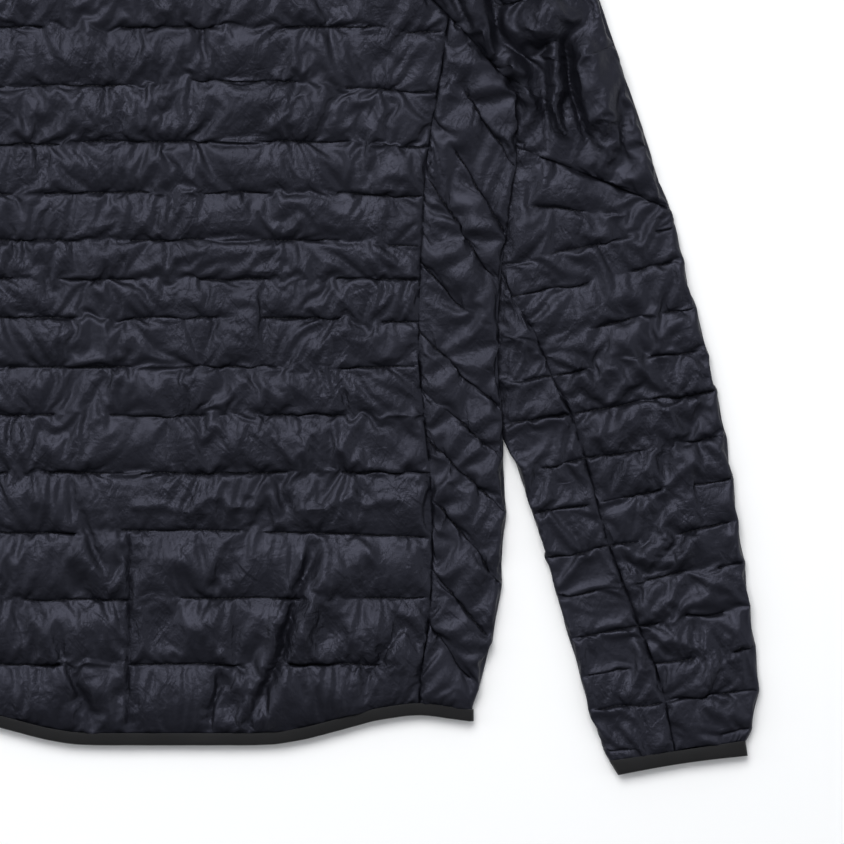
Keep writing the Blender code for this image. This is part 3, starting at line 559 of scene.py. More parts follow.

# %% [markdown]
# ## Creases and puffs placed one by one
# A jacket that has been worn and laid down keeps a few long creases that no stitch explains. Each is a
# line on the cloth along which the padding can't rise as high. Beside them and between them the cloth
# stands up in ridges. Both are as uneven as the photograph shows them.

# %% Crease table: points, half width, share of the puff that it takes away, depth if it is a deep one
CREASES = (
    (((-34, 159), (-34, 68), (-36, 16)), 2.0, 0.9, 1.9),
    (((103, 141), (92, 115), (80, 69), (56, 18)), 3.2, 0.95, 1.8),
    (((-78, 190), (-50, 122), (-38, 140)), 5.0, 0.6, None),
    (((67, 176), (41, 141), (29, 120)), 3.0, 0.7, 0.6),
    (((77, 197), (88, 163)), 3.0, 0.7, 0.6),
    (((-46, 202), (-28, 169)), 4.0, 0.7, None),
    (((36, 61), (26, 17)), 3.0, 0.9, 1.9),
    (((67, 76), (41, 51), (34, 29)), 4.0, 0.7, None),
    (((169, 87), (143, 49)), 4.0, 0.9, 1.6),
    (((-86, 71), (-61, 18)), 4.0, 0.8, 1.6),
    (((-131, 116), (-94, 64)), 6.0, 0.6, None),
    (((46, 109), (44, 60)), 3.0, 0.5, None),
    (((128, 248), (154, 240), (180, 229)), 4.0, 0.7, None),
    (((128, 484), (139, 454), (148, 416)), 4.0, 0.7, None),
    (((154, 536), (165, 495), (160, 439)), 4.0, 0.7, None),
)
# Ridges of the back: line, half width, height
RIDGES = (
    (((-30, 179), (-10, 180), (12, 174), (24, 185), (34, 187), (42, 178), (62, 178), (70, 189), (88, 167),
      (93, 176), (113, 178), (134, 187), (144, 179), (155, 183), (170, 184)), 2.2, 3.2),
    (((-101, 189), (-66, 134), (-50, 122)), 8.0, 3.8),
    (((-37, 156), (-37, 70), (-39, 20)), 2.0, 3.0),
    (((-30.5, 152), (-30.5, 70), (-32.5, 22)), 2.0, 2.6),
    (((-26, 140), (-27, 70)), 2.4, 0.8),
    (((96, 141), (84, 113), (73, 69), (49, 20)), 3.6, 3.4),
    (((116, 138), (104, 112), (94, 69), (72, 20)), 9.0, 4.6),
    (((96, 84), (112, 114), (143, 142)), 10.0, 4.6),
    (((66, 60), (74, 92)), 5.0, 3.0),
    (((34, 66), (52, 40), (60, 20)), 6.0, 3.6),
    (((104, 62), (120, 40), (130, 26)), 10.0, 3.4),
    (((-104, 90), (-80, 50)), 11.0, 4.4),
    (((0, 140), (24, 128), (48, 150)), 8.0, 2.8),
    (((2, 92), (20, 84), (32, 98)), 6.0, 2.0),
    (((152, 90), (168, 60)), 8.0, 3.4),
    (((-70, 90), (-58, 40)), 8.0, 3.0),
)


def nearest_on(points, x, y):
    """How far every grid point is from a line of straight runs, its nearest place there, and the share
    of the line that lies before that place."""
    best, near_x, near_y, share = np.full(x.shape, 1e9), x.copy(), y.copy(), np.zeros(x.shape)
    runs = len(points) - 1
    for number, ((ax, ay), (bx, by)) in enumerate(zip(points, points[1:])):
        dx, dy = bx - ax, by - ay
        t = np.clip(((x - ax) * dx + (y - ay) * dy) / (dx * dx + dy * dy), 0, 1)
        away = np.hypot(x - ax - t * dx, y - ay - t * dy)
        near_x = np.where(away < best, ax + t * dx, near_x)
        near_y = np.where(away < best, ay + t * dy, near_y)
        share = np.where(away < best, (number + t) / runs, share)
        best = np.minimum(best, away)
    return best, near_x, near_y, share


def away_from(points, x, y):
    return nearest_on(points, x, y)[0]


GROOVE = 1.5                      # how deep the thread pulls the cloth below the stitched height


def sink_groove(base, held):
    """Lowers the held points of the upper layer into their groove."""
    base[..., 2] -= np.where(held & (base[..., 2] > STITCHED - 0.1), GROOVE, 0.0)


RIDGE_WIDTHS, RIDGE_FALL = (3, 8), (1.25, 2.0)     # a narrow ridge is sharp, and a wide one is round


def lift_ridges(points, held, ridges):
    """Raises settled cloth softly along the lines of a table: points, half width, height."""
    x, y = points[..., 0], points[..., 1]
    for line, half_width, height in ridges:
        roundness = np.interp(half_width, RIDGE_WIDTHS, RIDGE_FALL)
        rise = height * np.exp(-(away_from(line, x, y) / half_width) ** roundness)
        points[..., 2] += np.where(held, 0.0, rise)


FOLD_SPARE, FOLD_REACH = 0.18, 7.0     # spare length beside a deep crease, and how far it reaches
TIGHT, PIN_REACH = 0.7, 0.62 * CELL    # how tight cloth is drawn at a crease, and how near it is pinned


def crease_share(x, y, creases):
    """Share of a puff's height that is left near the creases."""
    left = np.ones(x.shape)
    for line, half_width, taken, _ in creases:
        away = away_from(line, x, y)
        left = np.minimum(left, 1 - taken * np.exp(-(away / half_width) ** 1.3))
    return left


def keep_folds(base, held, creases):
    """Pins the cloth down along the deep creases. Also gives the spare length that stands beside them,
    across and along the garment, and how smoothly the cloth is drawn there."""
    x, y = base[..., 0].copy(), base[..., 1].copy()
    pinned, spare, drawn = np.zeros(held.shape, bool), np.zeros((2, *held.shape)), np.zeros(held.shape)
    for line, _, taken, depth in creases:
        away, near_x, near_y, _ = nearest_on(line, x, y)
        if depth or taken == 1.0:
            drawn = np.maximum(drawn, TIGHT * np.exp(-(away / FOLD_REACH) ** 2))
        if depth is None:
            continue
        on = (away < PIN_REACH) & ~held
        base[..., 0] = np.where(on, near_x, base[..., 0])
        base[..., 1] = np.where(on, near_y, base[..., 1])
        base[..., 2] = np.where(on, STITCHED - depth, base[..., 2])
        pinned |= on
        run_x, run_y = abs(line[-1][0] - line[0][0]), abs(line[-1][1] - line[0][1])
        beside = np.exp(-(away / FOLD_REACH) ** 2) / math.hypot(run_x, run_y)
        more = FOLD_SPARE * min(depth, 1.0)
        spare = np.maximum(spare, more * np.stack([run_y * beside, run_x * beside]))
    return pinned, spare, drawn


print(len(CREASES), "creases on the back")

# %% [markdown]
# ## Back panel
# The back is one piece between the two side-back seams, the two raglan seams, the hem's binding and the
# collar. Its rows of dashes were sewn by hand-guided machine, so no two dashes are the same length or
# quite level. The table keeps each dash where it was sewn; to the left of it the rows carry on mirrored.

# %% Dashes of the back: height of the row, then each dash as start, end and its own rise at both ends
BACK_DASHES = (
    (60.8, ((-131, -86), (-34, 45), (86, 154))),
    (110.3, ((-112, -34, -1.5, -1.5), (4, 94), (142, 188))),
    (161.3, ((-131, -75, -2.2, -2.2), (-40, 49), (68, 188, -1.5, -5.2))),
    (204.0, ((-98, -38), (-26, 86), (124, 191))),
    (247.5, ((-131, -90), (-49, 22), (68, 128))),
    (283.5, ((-124, -34), (8, 75), (124, 180))),
    (320.3, ((-131, -75), (-36, 30), (65, 124), (154, 182, -3.0, -3.0))),
    (349.5, ((-85, -30), (19, 70), (122, 182))),
    (378.8, ((-131, -75), (-34, 22), (65, 124), (158, 182, -4.5, -4.5))),
    (414.0, ((-98, -19), (22, 71), (122, 184, -0.8, -3.0))),
    (452.3, ((-131, -86, -2.2, -2.2), (-68, 25), (68, 131), (172, 191, -3.8, -3.8))),
    (495.8, ((-105, -38, -1.5, -1.5), (19, 92, 1.5, 1.5), (128, 195, -3.0, -6.0))),
    (538.5, ((-131, -98), (-40, 30), (82, 158), (172, 199, -4.5, -4.5))),
    (581.0, ((-92, -32), (26, 84), (130, 168))),
    (622.0, ((-30, 28), (84, 112))),
)
DRAWN_FROM, CUT_OFF = -131.0, 16.0      # the photo's edge, and how far a dash goes on past it
DASH_GAP, DRAWN_GAP, SHORTEST_DASH = 18.0, 14.0, 12.0


def whole_row(dashes):
    """Adds the dashes left of the drawn part, mirrored from the right."""
    dashes = [d if len(d) == 4 else (*d, 0.0, 0.0) for d in dashes]
    left = [(-b, -a, rb, ra) for a, b, ra, rb in dashes if -b < DRAWN_FROM]
    first = dashes[0]
    if left and any(a <= DRAWN_FROM for a, *_ in dashes):
        left = [d for d in left if d[1] < max(first[0] - DRAWN_GAP, DRAWN_FROM)]
        first = dashes[0] = (first[0] - CUT_OFF, *first[1:])
    left = [(a, min(b, first[0] - DASH_GAP), ra, rb) for a, b, ra, rb in left]
    return [d for d in left if d[1] - d[0] > SHORTEST_DASH] + dashes


BACK_ROWS = [(y, whole_row(dashes)) for y, dashes in BACK_DASHES]
print(sum(len(d) for _, d in BACK_ROWS), "dashes on the back")


# %% Net of the back
def graded(steps):
    """Shares from one row of stitching to the next, closer together beside the stitching."""
    t = np.arange(steps + 1) / steps
    return 0.45 * t + 0.55 * (1 - np.cos(math.pi * t)) / 2


BACK_HALF = 192.0
WOBBLE, WOBBLE_SIZE = 0.9, 22     # how far a row of stitching strays from its line, and over what size


def row_height(number, x):
    """Height of a row of the back: the hem's seam, then each row of dashes, then the neck's seam."""
    if number == 0:
        return hem_line(x) + HEM_HEIGHT - SEWN_IN
    if number == len(BACK_ROWS) + 1:
        return back_neck(x) + SEWN_IN / 2
    y, dashes = BACK_ROWS[number - 1]
    ends = [end for a, b, _, _ in dashes for end in (a, b)]
    rises = [rise for *_, ra, rb in dashes for rise in (ra, rb)]
    x = np.asarray(x, float)
    wobble = WOBBLE * patches(x, np.full(x.shape, y), WOBBLE_SIZE, 900 + number)
    return y + np.interp(x, ends, rises) + wobble


def width_at_edge(row, edge, half):
    """Half width where a row meets the pattern's edge, found in small steps from a first guess."""
    for _ in range(30):
        half = (half + edge(row(half))) / 2
    return half


def back_net():
    shares = np.linspace(-1, 1, 2 * round(BACK_HALF / CELL) + 1)
    grid, stitched_rows = [], []
    for number in range(len(BACK_ROWS) + 1):
        spacing = row_height(number + 1, 0.0) - row_height(number, 0.0)
        steps = max(4, round(float(spacing) / CELL))
        stitched_rows.append(len(grid))
        last = number == len(BACK_ROWS)
        for f in graded(steps)[:None if last else -1]:
            def row(x):
                return row_height(number, x) * (1 - f) + row_height(number + 1, x) * f

            x = shares * width_at_edge(row, back_half_width, BACK_HALF)
            grid.append(np.stack([x, row(x)], -1))
    return np.array(grid), stitched_rows


back_plan, back_stitched = back_net()
print("net of the back", back_plan.shape)


# %% Settle and build the back
LOFT, LOFT_MAX = 0.17, 8.0        # height of a puff for the spacing of its rows, and the greatest
FIRST_LOFT = 0.8                  # puffs start a little lower than they may grow
BACK_FULLNESS, BACK_LIMIT = (0.06, 0.075), 0.88
HEM_CALM, HEM_TOP, HEM_BLEND = 0.55, 150.0, 50.0  # the last rows are stretched smoother by large folds
BACK_CUT, BACK_SPARE = (411 * 1.10, 655 * 1.03), 1.133  # widest and longest line, with spare length


def puff_start(stitched_rows, plan):
    """First height of the puffs: a round rise between one row and the next."""
    ends = [*stitched_rows, len(plan) - 1]
    height = np.zeros(plan.shape[:2])
    for a, b in zip(ends, ends[1:]):
        spacing = np.linalg.norm(plan[b] - plan[a], axis=-1)
        f = graded(b - a)[:, None]
        height[a:b] = (np.sqrt(4 * f * (1 - f)) * np.minimum(LOFT_MAX, LOFT * spacing) * FIRST_LOFT)[:-1]
    return height


def ends_at(level, x, y):
    """The two ends of every row of a grid, outer one first, at one height: its plain inside."""
    return np.stack([np.dstack([x[:, c], y[:, c], np.full(len(x), level)])[0] for c in (-1, 0)], 1)


def back_panel():
    x, y = back_plan[..., 0], back_plan[..., 1]
    base = np.dstack([x, y, np.full(x.shape, STITCHED)])
    held = np.zeros(x.shape, bool)
    held[0] = held[-1] = held[:, 0] = held[:, -1] = True
    for row, (_, dashes) in zip(back_stitched[1:], BACK_ROWS):
        for a, b, *_ in dashes:
            held[row] |= (x[row] >= a) & (x[row] <= b)
    share = crease_share(x, y, CREASES)
    limit = LOFT_MAX * BACK_LIMIT * share
    start = puff_start(back_stitched, back_plan) * share
    start[held] = 0
    sink_groove(base, held)
    pinned, spare, drawn = keep_folds(base, held, CREASES)
    calm = np.maximum(HEM_CALM * (1 - ease((y - HEM_TOP) / HEM_BLEND)), drawn)
    top = settle(base, held | pinned, BACK_FULLNESS, start, limit, 11, calm, spare)
    lift_ridges(top, held, RIDGES)
    top = soften(top, held, drawn)
    return np.concatenate([top, ends_at(INSIDE, x, y)], axis=1), base


back_loops, back_base = back_panel()
back = build_piece("back_panel_quilted", back_loops, nylon)


def plan_area(grid):
    """Area of a grid of points, in square millimetres."""
    a = np.diff(grid, axis=1)[:-1]
    b = np.diff(grid, axis=0)[:, :-1]
    return float(np.linalg.norm(np.cross(a, b), axis=-1).sum())


finish_piece(back, "back_panel", "quilted_nylon", *BACK_CUT, plan_area(back_base) * BACK_SPARE)


# %% [markdown]
# ## Panels that wrap round an edge
# The side panels and the sleeves start at a seam on top, run to the garment's edge, roll round it and
# return flat underneath. Their net follows that path. The edge is drawn in a little from the pattern's
# line, because the puffs bulge past it again and the rows that reach it pull notches.

# %% Path of a wrapped panel
ROLL, ROLL_DEPTH, DEEPEST = 3.2, 1.15, 0.4  # half the roll's height, its depth over that, its largest share
BULGE = 2.4                       # how far the edge is drawn in for the puffs
ARC_COLUMNS, UNDER_COLUMNS = 7, 12  # columns of the net round the roll, and back underneath
OVERLAP, OVERHANG = 3.6, 3.0      # where a piece lies on its neighbour: how far, and how high
WRAPPED_LIMIT = 0.85              # height of the puffs
ASTRAY, ASTRAY_SIZE = 2.8, 26     # how far the rows stray, and over what size
TO_EDGE = 0.96                    # a dash that ends past this share goes on round the roll
ROLL_CALM, ROLL_START = 0.75, 0.4   # how calm the cloth is round the roll, and its share of the puffs
ROLL_INSIDE, WALL = 8.5, 0.6      # where the inside ends before the roll, and how much thinner it is


def through(points, number, f):
    """Point on the smooth line through all the points, the part f past the numbered one."""
    p, a = points[max(number - 1, 0)], points[number]
    c, n = points[number + 1], points[min(number + 2, len(points) - 1)]
    return a + 0.5 * f * (c - p + f * (2 * p - 5 * a + 4 * c - n + f * (3 * (a - c) + n - p)))


def rows_of(table, fit=None):
    """Rows of the net from rows of stitching (seam point, edge point), and where the stitched ones are."""
    seams = np.array([seam for seam, _ in table], float)
    edges = np.array([edge for _, edge in table], float)
    made_seams, made_edges, stitched = [], [], []
    for number in range(len(table) - 1):
        spacing = (np.linalg.norm(seams[number + 1] - seams[number])
                   + np.linalg.norm(edges[number + 1] - edges[number])) / 2
        steps = max(4, round(float(spacing) / CELL))
        stitched.append(len(made_seams))
        last = number == len(table) - 2
        for f in graded(steps)[:None if last else -1]:
            made_seams.append(seams[number] + (seams[number + 1] - seams[number]) * f)
            made_edges.append(through(edges, number, f))
    made_seams, made_edges = np.array(made_seams), np.array(made_edges)
    if fit:
        made_seams, made_edges = fit(made_seams, made_edges)
    return made_seams, made_edges, stitched


def wrapped_base(seams, edges, top_columns, over, short):
    """Stitched surface over the top, round the roll and back underneath, with each point's share of the
    width. over is, for each row, 1 where the edge lies on the neighbouring piece. short is how far the
    layer underneath stops before the seam on top."""
    along = edges - seams
    length = np.linalg.norm(along, axis=1, keepdims=True)
    along = along / length
    over = np.broadcast_to(np.asarray(over, float).reshape(-1, 1), length.shape)
    length = length - BULGE + OVERLAP * over
    roll = np.minimum(ROLL * ROLL_DEPTH, DEEPEST * length)
    foot = OVERHANG * over
    reach = [(length - roll) * t for t in np.linspace(0, 1, top_columns)]
    height = [np.full_like(length, STITCHED)] * top_columns
    for angle in np.radians(np.linspace(90, -90, ARC_COLUMNS + 2)[1:-1]):
        reach.append(length - roll + roll * math.cos(angle))
        height.append(foot + (STITCHED - foot) / 2 * (1 + math.sin(angle)))
    for t in np.linspace(1, 0, UNDER_COLUMNS):
        reach.append((length - roll - 2 * foot) * t + short * (1 - t))
        height.append(np.zeros_like(length))
    reach, height = np.concatenate(reach, 1), np.concatenate(height, 1)
    return np.dstack([seams[:, None] + along[:, None] * reach[..., None], height]), reach / length


def wrapped_panel(table, dashes, seed, top_columns, fullness, fit=None, over=None, shaping=None,
                  creases=(), ridges=(), loft=None, short=2.4):
    """Settles a wrapped panel. dashes has, for each stitched row, the (start, end) shares of its width.
    fit moves the rows to the pattern's lines, over says where the edge lies on its neighbour, shaping
    heaps or tucks the base, loft scales the puffs, and short ends the layer underneath. Gives the loops,
    the stitched surface and the runs of stitches."""
    seams, edges, stitched = rows_of(table, fit)
    base, share = wrapped_base(seams, edges, top_columns, over(edges) if over else 0.0, short)
    top = (slice(None), slice(0, top_columns))
    half_roll, past_roll = top_columns + ARC_COLUMNS // 2, top_columns + ARC_COLUMNS
    stray = patches(base[top][..., 0], base[top][..., 1], ASTRAY_SIZE, seed + 9)
    base[:, :top_columns, 1] += ASTRAY * np.sin(math.pi * np.clip(share[top], 0, 1)) * stray
    if shaping:
        shaping(base, past_roll)
    held = np.zeros(share.shape, bool)
    held[0] = held[-1] = held[:, 0] = held[:, past_roll - 1:] = True
    runs = []
    for row, row_dashes in zip(stitched[1:], dashes):
        for a, b in row_dashes:
            on = (share[row, :top_columns] >= a) & (share[row, :top_columns] <= b)
            held[row, :top_columns] |= on
            if b > TO_EDGE:
                held[row, top_columns:half_roll] = True
            if on.sum() > 2:
                runs.append((row, on))
    sink_groove(base, held)
    runs = [base[row, :top_columns][on] for row, on in runs]
    free_share = crease_share(base[..., 0], base[..., 1], creases)
    limit = LOFT_MAX * WRAPPED_LIMIT * free_share * (loft(base) if loft else 1.0)
    start = puff_start(stitched, base[..., :2]) * free_share
    start[:, half_roll:] *= ROLL_START
    start[held] = 0
    pinned, spare, drawn = np.zeros(held.shape, bool), np.zeros((2, *held.shape)), np.zeros(held.shape)
    pinned[top], spare[:, :, :top_columns], drawn[top] = keep_folds(base[top], held[top], creases)
    calm = drawn.copy()
    calm[:, top_columns:] = ROLL_CALM
    outer = settle(base, held | pinned, fullness, start, limit, seed, calm, spare)
    lift_ridges(outer[top], held[top], ridges)
    outer = soften(outer, held, drawn)
    length = np.linalg.norm(edges - seams, axis=1, keepdims=True)
    along = (edges - seams) / length
    at_roll = seams + along * (length - np.minimum(ROLL_INSIDE, 0.5 * length))
    level, lowest = np.ones(len(seams)), outer[:, 0, 2]
    inside = [(seams + along * short, np.minimum(UNDER, lowest - WALL)),
              (at_roll, (UNDER - WALL) * level), (at_roll, (INSIDE - WALL) * level),
              (seams, np.minimum(INSIDE, lowest - WALL / 2))]
    inner = np.stack([np.column_stack(corner) for corner in inside], 1)
    return np.concatenate([outer, inner], axis=1), base, runs


STITCH_RUNS = []


def add_pair(node, panel, seed, fullness):
    """Settles and builds the right piece, and its left partner with puckers of its own."""
    for (side, turn), number in zip(SIDES, (seed, seed + 500)):
        loops, base, runs = panel(number)
        area = plan_area(base) * (1 + fullness[0]) * (1 + fullness[1])
        across = np.linalg.norm(np.diff(base, axis=1), axis=-1).sum(1).max() * (1 + fullness[0])
        along = np.linalg.norm(np.diff(base, axis=0), axis=-1).sum(0).max() * (1 + fullness[1])
        piece = build_piece(f"{node}_{side}_quilted", loops * turn, nylon)
        finish_piece(piece, f"{node}_{side}", "quilted_nylon", across, along, min(area, across * along))
        STITCH_RUNS.extend(run * turn for run in runs)


print("a wrapped panel has", ARC_COLUMNS, "columns round its edge")


# %% [markdown]
# ## Side panels
# Each side panel wraps round the body's edge. Its quilting runs on the slant, downwards and outwards,
# and meets the back's rows at the side-back seam.

# %% Side panels
SIDE_ROWS = ((33.0, 28.4), (92.0, 40.0), (133.0, 75.0), (186.0, 118.0), (229.0, 172.5), (270.0, 212.0),
             (310.0, 251.0), (362.0, 300.0), (427.5, 341.0), (472.5, 383.0), (517.5, 433.0),
             (546.0, 490.0))
SIDE_DASHES = (((0.05, 0.8),), ((0.1, 0.9),), ((0.1, 1.0),), ((0.0, 1.0),), ((0.35, 0.9),),
               ((0.0, 1.0),), ((0.0, 0.55),), ((0.05, 0.85),), ((0.3, 1.0),), ((0.3, 1.0),))


def on_body_lines(seams, edges):
    edges = np.column_stack([line_through(BODY_EDGE, edges[:, 1]), edges[:, 1]])
    seams = np.column_stack([line_through(SIDE_SEAM, seams[:, 1]), seams[:, 1]])
    return seams, edges


def side_table():
    rows = [[(float(line_through(SIDE_SEAM, low)), low), (float(line_through(BODY_EDGE, high)), high)]
            for low, high in SIDE_ROWS]
    rows[0] = [(x, float(hem_line(x)) + HEM_HEIGHT - SEWN_IN) for x, _ in rows[0]]
    return rows


SIDE_FULLNESS, SIDE_WIDTH = (0.06, 0.06), 54.0
TOUCH, PARTING = (205, 30), (496, 12)     # heights where the body begins and ends to lie on the sleeve


def beside_sleeve(points):
    """1 where the body's edge lies on the sleeve, 0 at the armhole and below the sleeve's last touch."""
    y = points[..., 1]
    return ease((y - TOUCH[0]) / TOUCH[1]) * (1 - ease((y - PARTING[0]) / PARTING[1]))


def side_panel(seed):
    return wrapped_panel(side_table(), SIDE_DASHES, seed, round(SIDE_WIDTH / CELL), SIDE_FULLNESS,
                         fit=on_body_lines, over=beside_sleeve)


add_pair("side_panel", side_panel, 21, SIDE_FULLNESS)

# %% [markdown]
# ## Sleeves
# Below the slanted seam each sleeve is a tube of two pieces laid flat: a broad top sleeve round the
# outer edge and a narrow under sleeve round the inner edge, with the under-sleeve seam between them.

# %% Sleeve tables
# Rows of a sleeve from the cuff up: inner x and y, outer x and y, and the under sleeve's share of the row
SLEEVE_ROWS = (
    (324.0, -12.8, 429.8, 3.0, 0.480), (318.8, -3.8, 435.0, 12.8, 0.470),
    (308.3, 24.8, 440.3, 41.3, 0.450), (300.8, 50.3, 437.6, 75.0, 0.430),
    (292.5, 78.8, 434.3, 105.8, 0.390), (284.3, 110.3, 429.8, 137.3, 0.360),
    (275.3, 140.3, 425.3, 168.8, 0.335), (266.3, 172.5, 420.8, 200.3, 0.325),
    (254.0, 206.3, 416.3, 233.3, 0.330), (247.0, 240.0, 408.8, 266.3, 0.310),
    (244.4, 270.0, 402.0, 297.0, 0.245), (243.2, 302.0, 393.5, 328.5, 0.180),
    (244.2, 334.0, 384.0, 364.0, 0.070), (246.8, 362.0, 377.5, 389.0, 0.012),
    (252.4, 404.0, 376.0, 395.0, None), (258.2, 448.5, 373.5, 400.5, None),
)
# Dashes of each row above the cuff, as shares of the row from the inner edge to the outer edge
SLEEVE_DASHES = (
    ((0.0, 0.2), (0.8, 1.0)),
    ((0.06, 0.42), (0.53, 1.0)),
    ((0.05, 0.27), (0.42, 0.66), (0.88, 1.0)),
    ((0.06, 0.5), (0.65, 0.85)),
    ((0.0, 0.2), (0.48, 0.68), (0.85, 1.0)),
    ((0.02, 0.48), (0.68, 0.95)),
    ((0.0, 0.27), (0.35, 0.65), (0.8, 1.0)),
    ((0.12, 0.6), (0.82, 0.95)),
    ((0.0, 0.29), (0.33, 0.63), (0.70, 1.0)),
    ((0.1, 0.4), (0.73, 0.94)),
    ((0.5, 0.7), (0.83, 1.0)),
    ((0.07, 0.49), (0.72, 0.94)),
    ((0.28, 0.68), (0.88, 1.0)),
    ((0.1, 0.45),),
)
LEAST_SHARE = 0.02                # a dash that reaches less far past the seam ends at it


def sleeve_seam(row):
    x0, y0, x1, y1, share = row
    share = share or 0.0
    return (x0 + (x1 - x0) * share, y0 + (y1 - y0) * share)


def top_share(dashes, share):
    """Dashes of a row as shares of the top sleeve's part of it, from the seam outwards."""
    share = share or 0.0
    kept = [((a - share) / (1 - share), (b - share) / (1 - share)) for a, b in dashes
            if b > share + LEAST_SHARE]
    return [(max(a, 0.0), b) for a, b in kept]


def under_share(dashes, share):
    """The same for the under sleeve, from the seam inwards."""
    kept = [((share - b) / share, (share - a) / share) for a, b in dashes if a < share - LEAST_SHARE]
    return [(max(a, 0.0), b) for a, b in kept]


# %% Top sleeves
SLEEVE_FULLNESS, SLEEVE_WIDTH, UNDER_WIDTH = (0.07, 0.065), 100.0, 48.0
LOWERED, TUCKED, TUCK_REACH = 4.2, 6.5, 9.0
PRESSED_FLAT, FLAT_REACH = 0.75, 11.0  # share of its puffs that the body presses out of the sleeve


def covered(base, reach):
    """1 where the body's edge lies on the sleeve, falling to 0 outwards."""
    away = np.maximum(base[..., 0] - line_through(BODY_EDGE, base[..., 1]), 0)
    return beside_sleeve(base) * np.exp(-(away / reach) ** 2)


def under_body(base, last):
    """Lowers a sleeve's inner side and slips it under the body's edge."""
    tuck = covered(base[:, :last], TUCK_REACH)
    base[:, :last, 2] -= tuck * LOWERED * (base[:, :last, 2] / STITCHED)
    base[:, :last, 0] -= tuck * TUCKED


def under_body_loft(base):
    return 1 - PRESSED_FLAT * covered(base, FLAT_REACH)


SLEEVE_CREASES = (
    (((358, 167), (373, 184)), 3.0, 0.8, 0.8),
    (((366, 140), (384, 160)), 3.0, 0.8, 0.8),
    (((388, 120), (376, 104)), 3.0, 0.8, 0.6),
    (((336, 139), (354, 129), (371, 131)), 3.0, 0.8, 0.8),
    (((411, 66), (421, 51), (416, 44)), 3.0, 0.8, 0.8),
    (((346, 39), (362, 29)), 3.0, 0.8, 0.8),
    (((388, 240), (400, 262)), 3.0, 0.8, 0.6),
    (((330, 214), (352, 232)), 3.0, 0.8, 0.6),
    (((306, 262), (330, 250), (342, 262)), 3.0, 0.8, 0.6),
    (((372, 300), (396, 288)), 3.0, 0.8, 0.6),
)
SLEEVE_RIDGES = (
    (((318, 232), (338, 244), (352, 238)), 5.0, 2.2),
    (((360, 246), (378, 262), (396, 256)), 6.0, 2.4),
    (((352, 206), (370, 196), (392, 214)), 5.0, 2.6),
    (((296, 286), (316, 272), (330, 290)), 5.0, 2.4),
    (((336, 302), (350, 284), (372, 296)), 6.0, 2.6),
    (((374, 108), (388, 98), (402, 116)), 5.0, 2.6),
    (((340, 112), (352, 94), (366, 104)), 5.0, 2.4),
    (((350, 176), (366, 190)), 4.0, 2.2),
    (((340, 148), (356, 138), (372, 140)), 4.0, 2.4),
    (((374, 136), (392, 156)), 4.0, 2.2),
    (((398, 40), (404, 56), (420, 66)), 4.0, 2.6),
    (((352, 66), (372, 80), (392, 72)), 5.0, 2.4),
)


def top_sleeve(seed):
    rows = [(sleeve_seam(row), (row[2], row[3])) for row in SLEEVE_ROWS]
    dashes = [top_share(d, row[4]) for d, row in zip(SLEEVE_DASHES, SLEEVE_ROWS[1:-1])]
    return wrapped_panel(rows, dashes, seed, round(SLEEVE_WIDTH / CELL), SLEEVE_FULLNESS,
                         shaping=under_body, creases=SLEEVE_CREASES, ridges=SLEEVE_RIDGES,
                         loft=under_body_loft, short=-PAST_SEAM)


add_pair("top_sleeve", top_sleeve, 31, SLEEVE_FULLNESS)


# %% Under sleeves
def under_sleeve(seed):
    rows = [(sleeve_seam(row), (row[0], row[1])) for row in SLEEVE_ROWS if row[4] is not None]
    dashes = [under_share(d, row[4]) for d, row in zip(SLEEVE_DASHES, SLEEVE_ROWS[1:13])]
    return wrapped_panel(rows, dashes, seed, round(UNDER_WIDTH / CELL), SLEEVE_FULLNESS,
                         shaping=under_body, loft=under_body_loft)


add_pair("under_sleeve", under_sleeve, 41, SLEEVE_FULLNESS)

# %% [markdown]
# ## Upper sleeves
# The raglan piece runs from the slanted seam up to the neck. It carries the armpit's deep folds.

# %% Upper sleeves
# Rows from the slanted seam to the neck: x and y at the raglan seam, x and y at the outer fold
UPPER_ROWS = (
    (258.2, 448.5, 373.5, 400.5), (256.8, 490.6, 355.0, 459.0), (230.8, 518.6, 336.0, 517.0),
    (205.5, 546.0, 316.0, 569.0), (171.0, 579.5, 277.0, 601.5), (120.0, 621.8, 189.0, 635.0),
    (60.0, 666.8, 80.0, 671.0),
)
UPPER_DASHES = ((), (), ((0.3, 0.65),), ((0.1, 0.4), (0.75, 1.0)), ((0.2, 0.7),))


def on_raglan(seams, edges):
    y = seams[:, 1]
    x = np.where(y > SIDE_SEAM[-1][0], line_through(RAGLAN[1:], y, key=1, value=0), seams[:, 0])
    return np.column_stack([x, y]), edges


# The valleys between the armpit's folds are shaped, and only the last crease is pinned down
ARMPIT_CREASES = (
    (((240, 602), (239, 559), (242, 538), (248, 526), (262, 516), (275, 504), (277, 470)), 4.0, 1.0, None),
    (((294, 536), (295, 496), (304, 474), (312, 452)), 4.0, 1.0, None),
    (((336, 472), (335, 442), (328, 428)), 3.0, 0.8, 0.3),
)
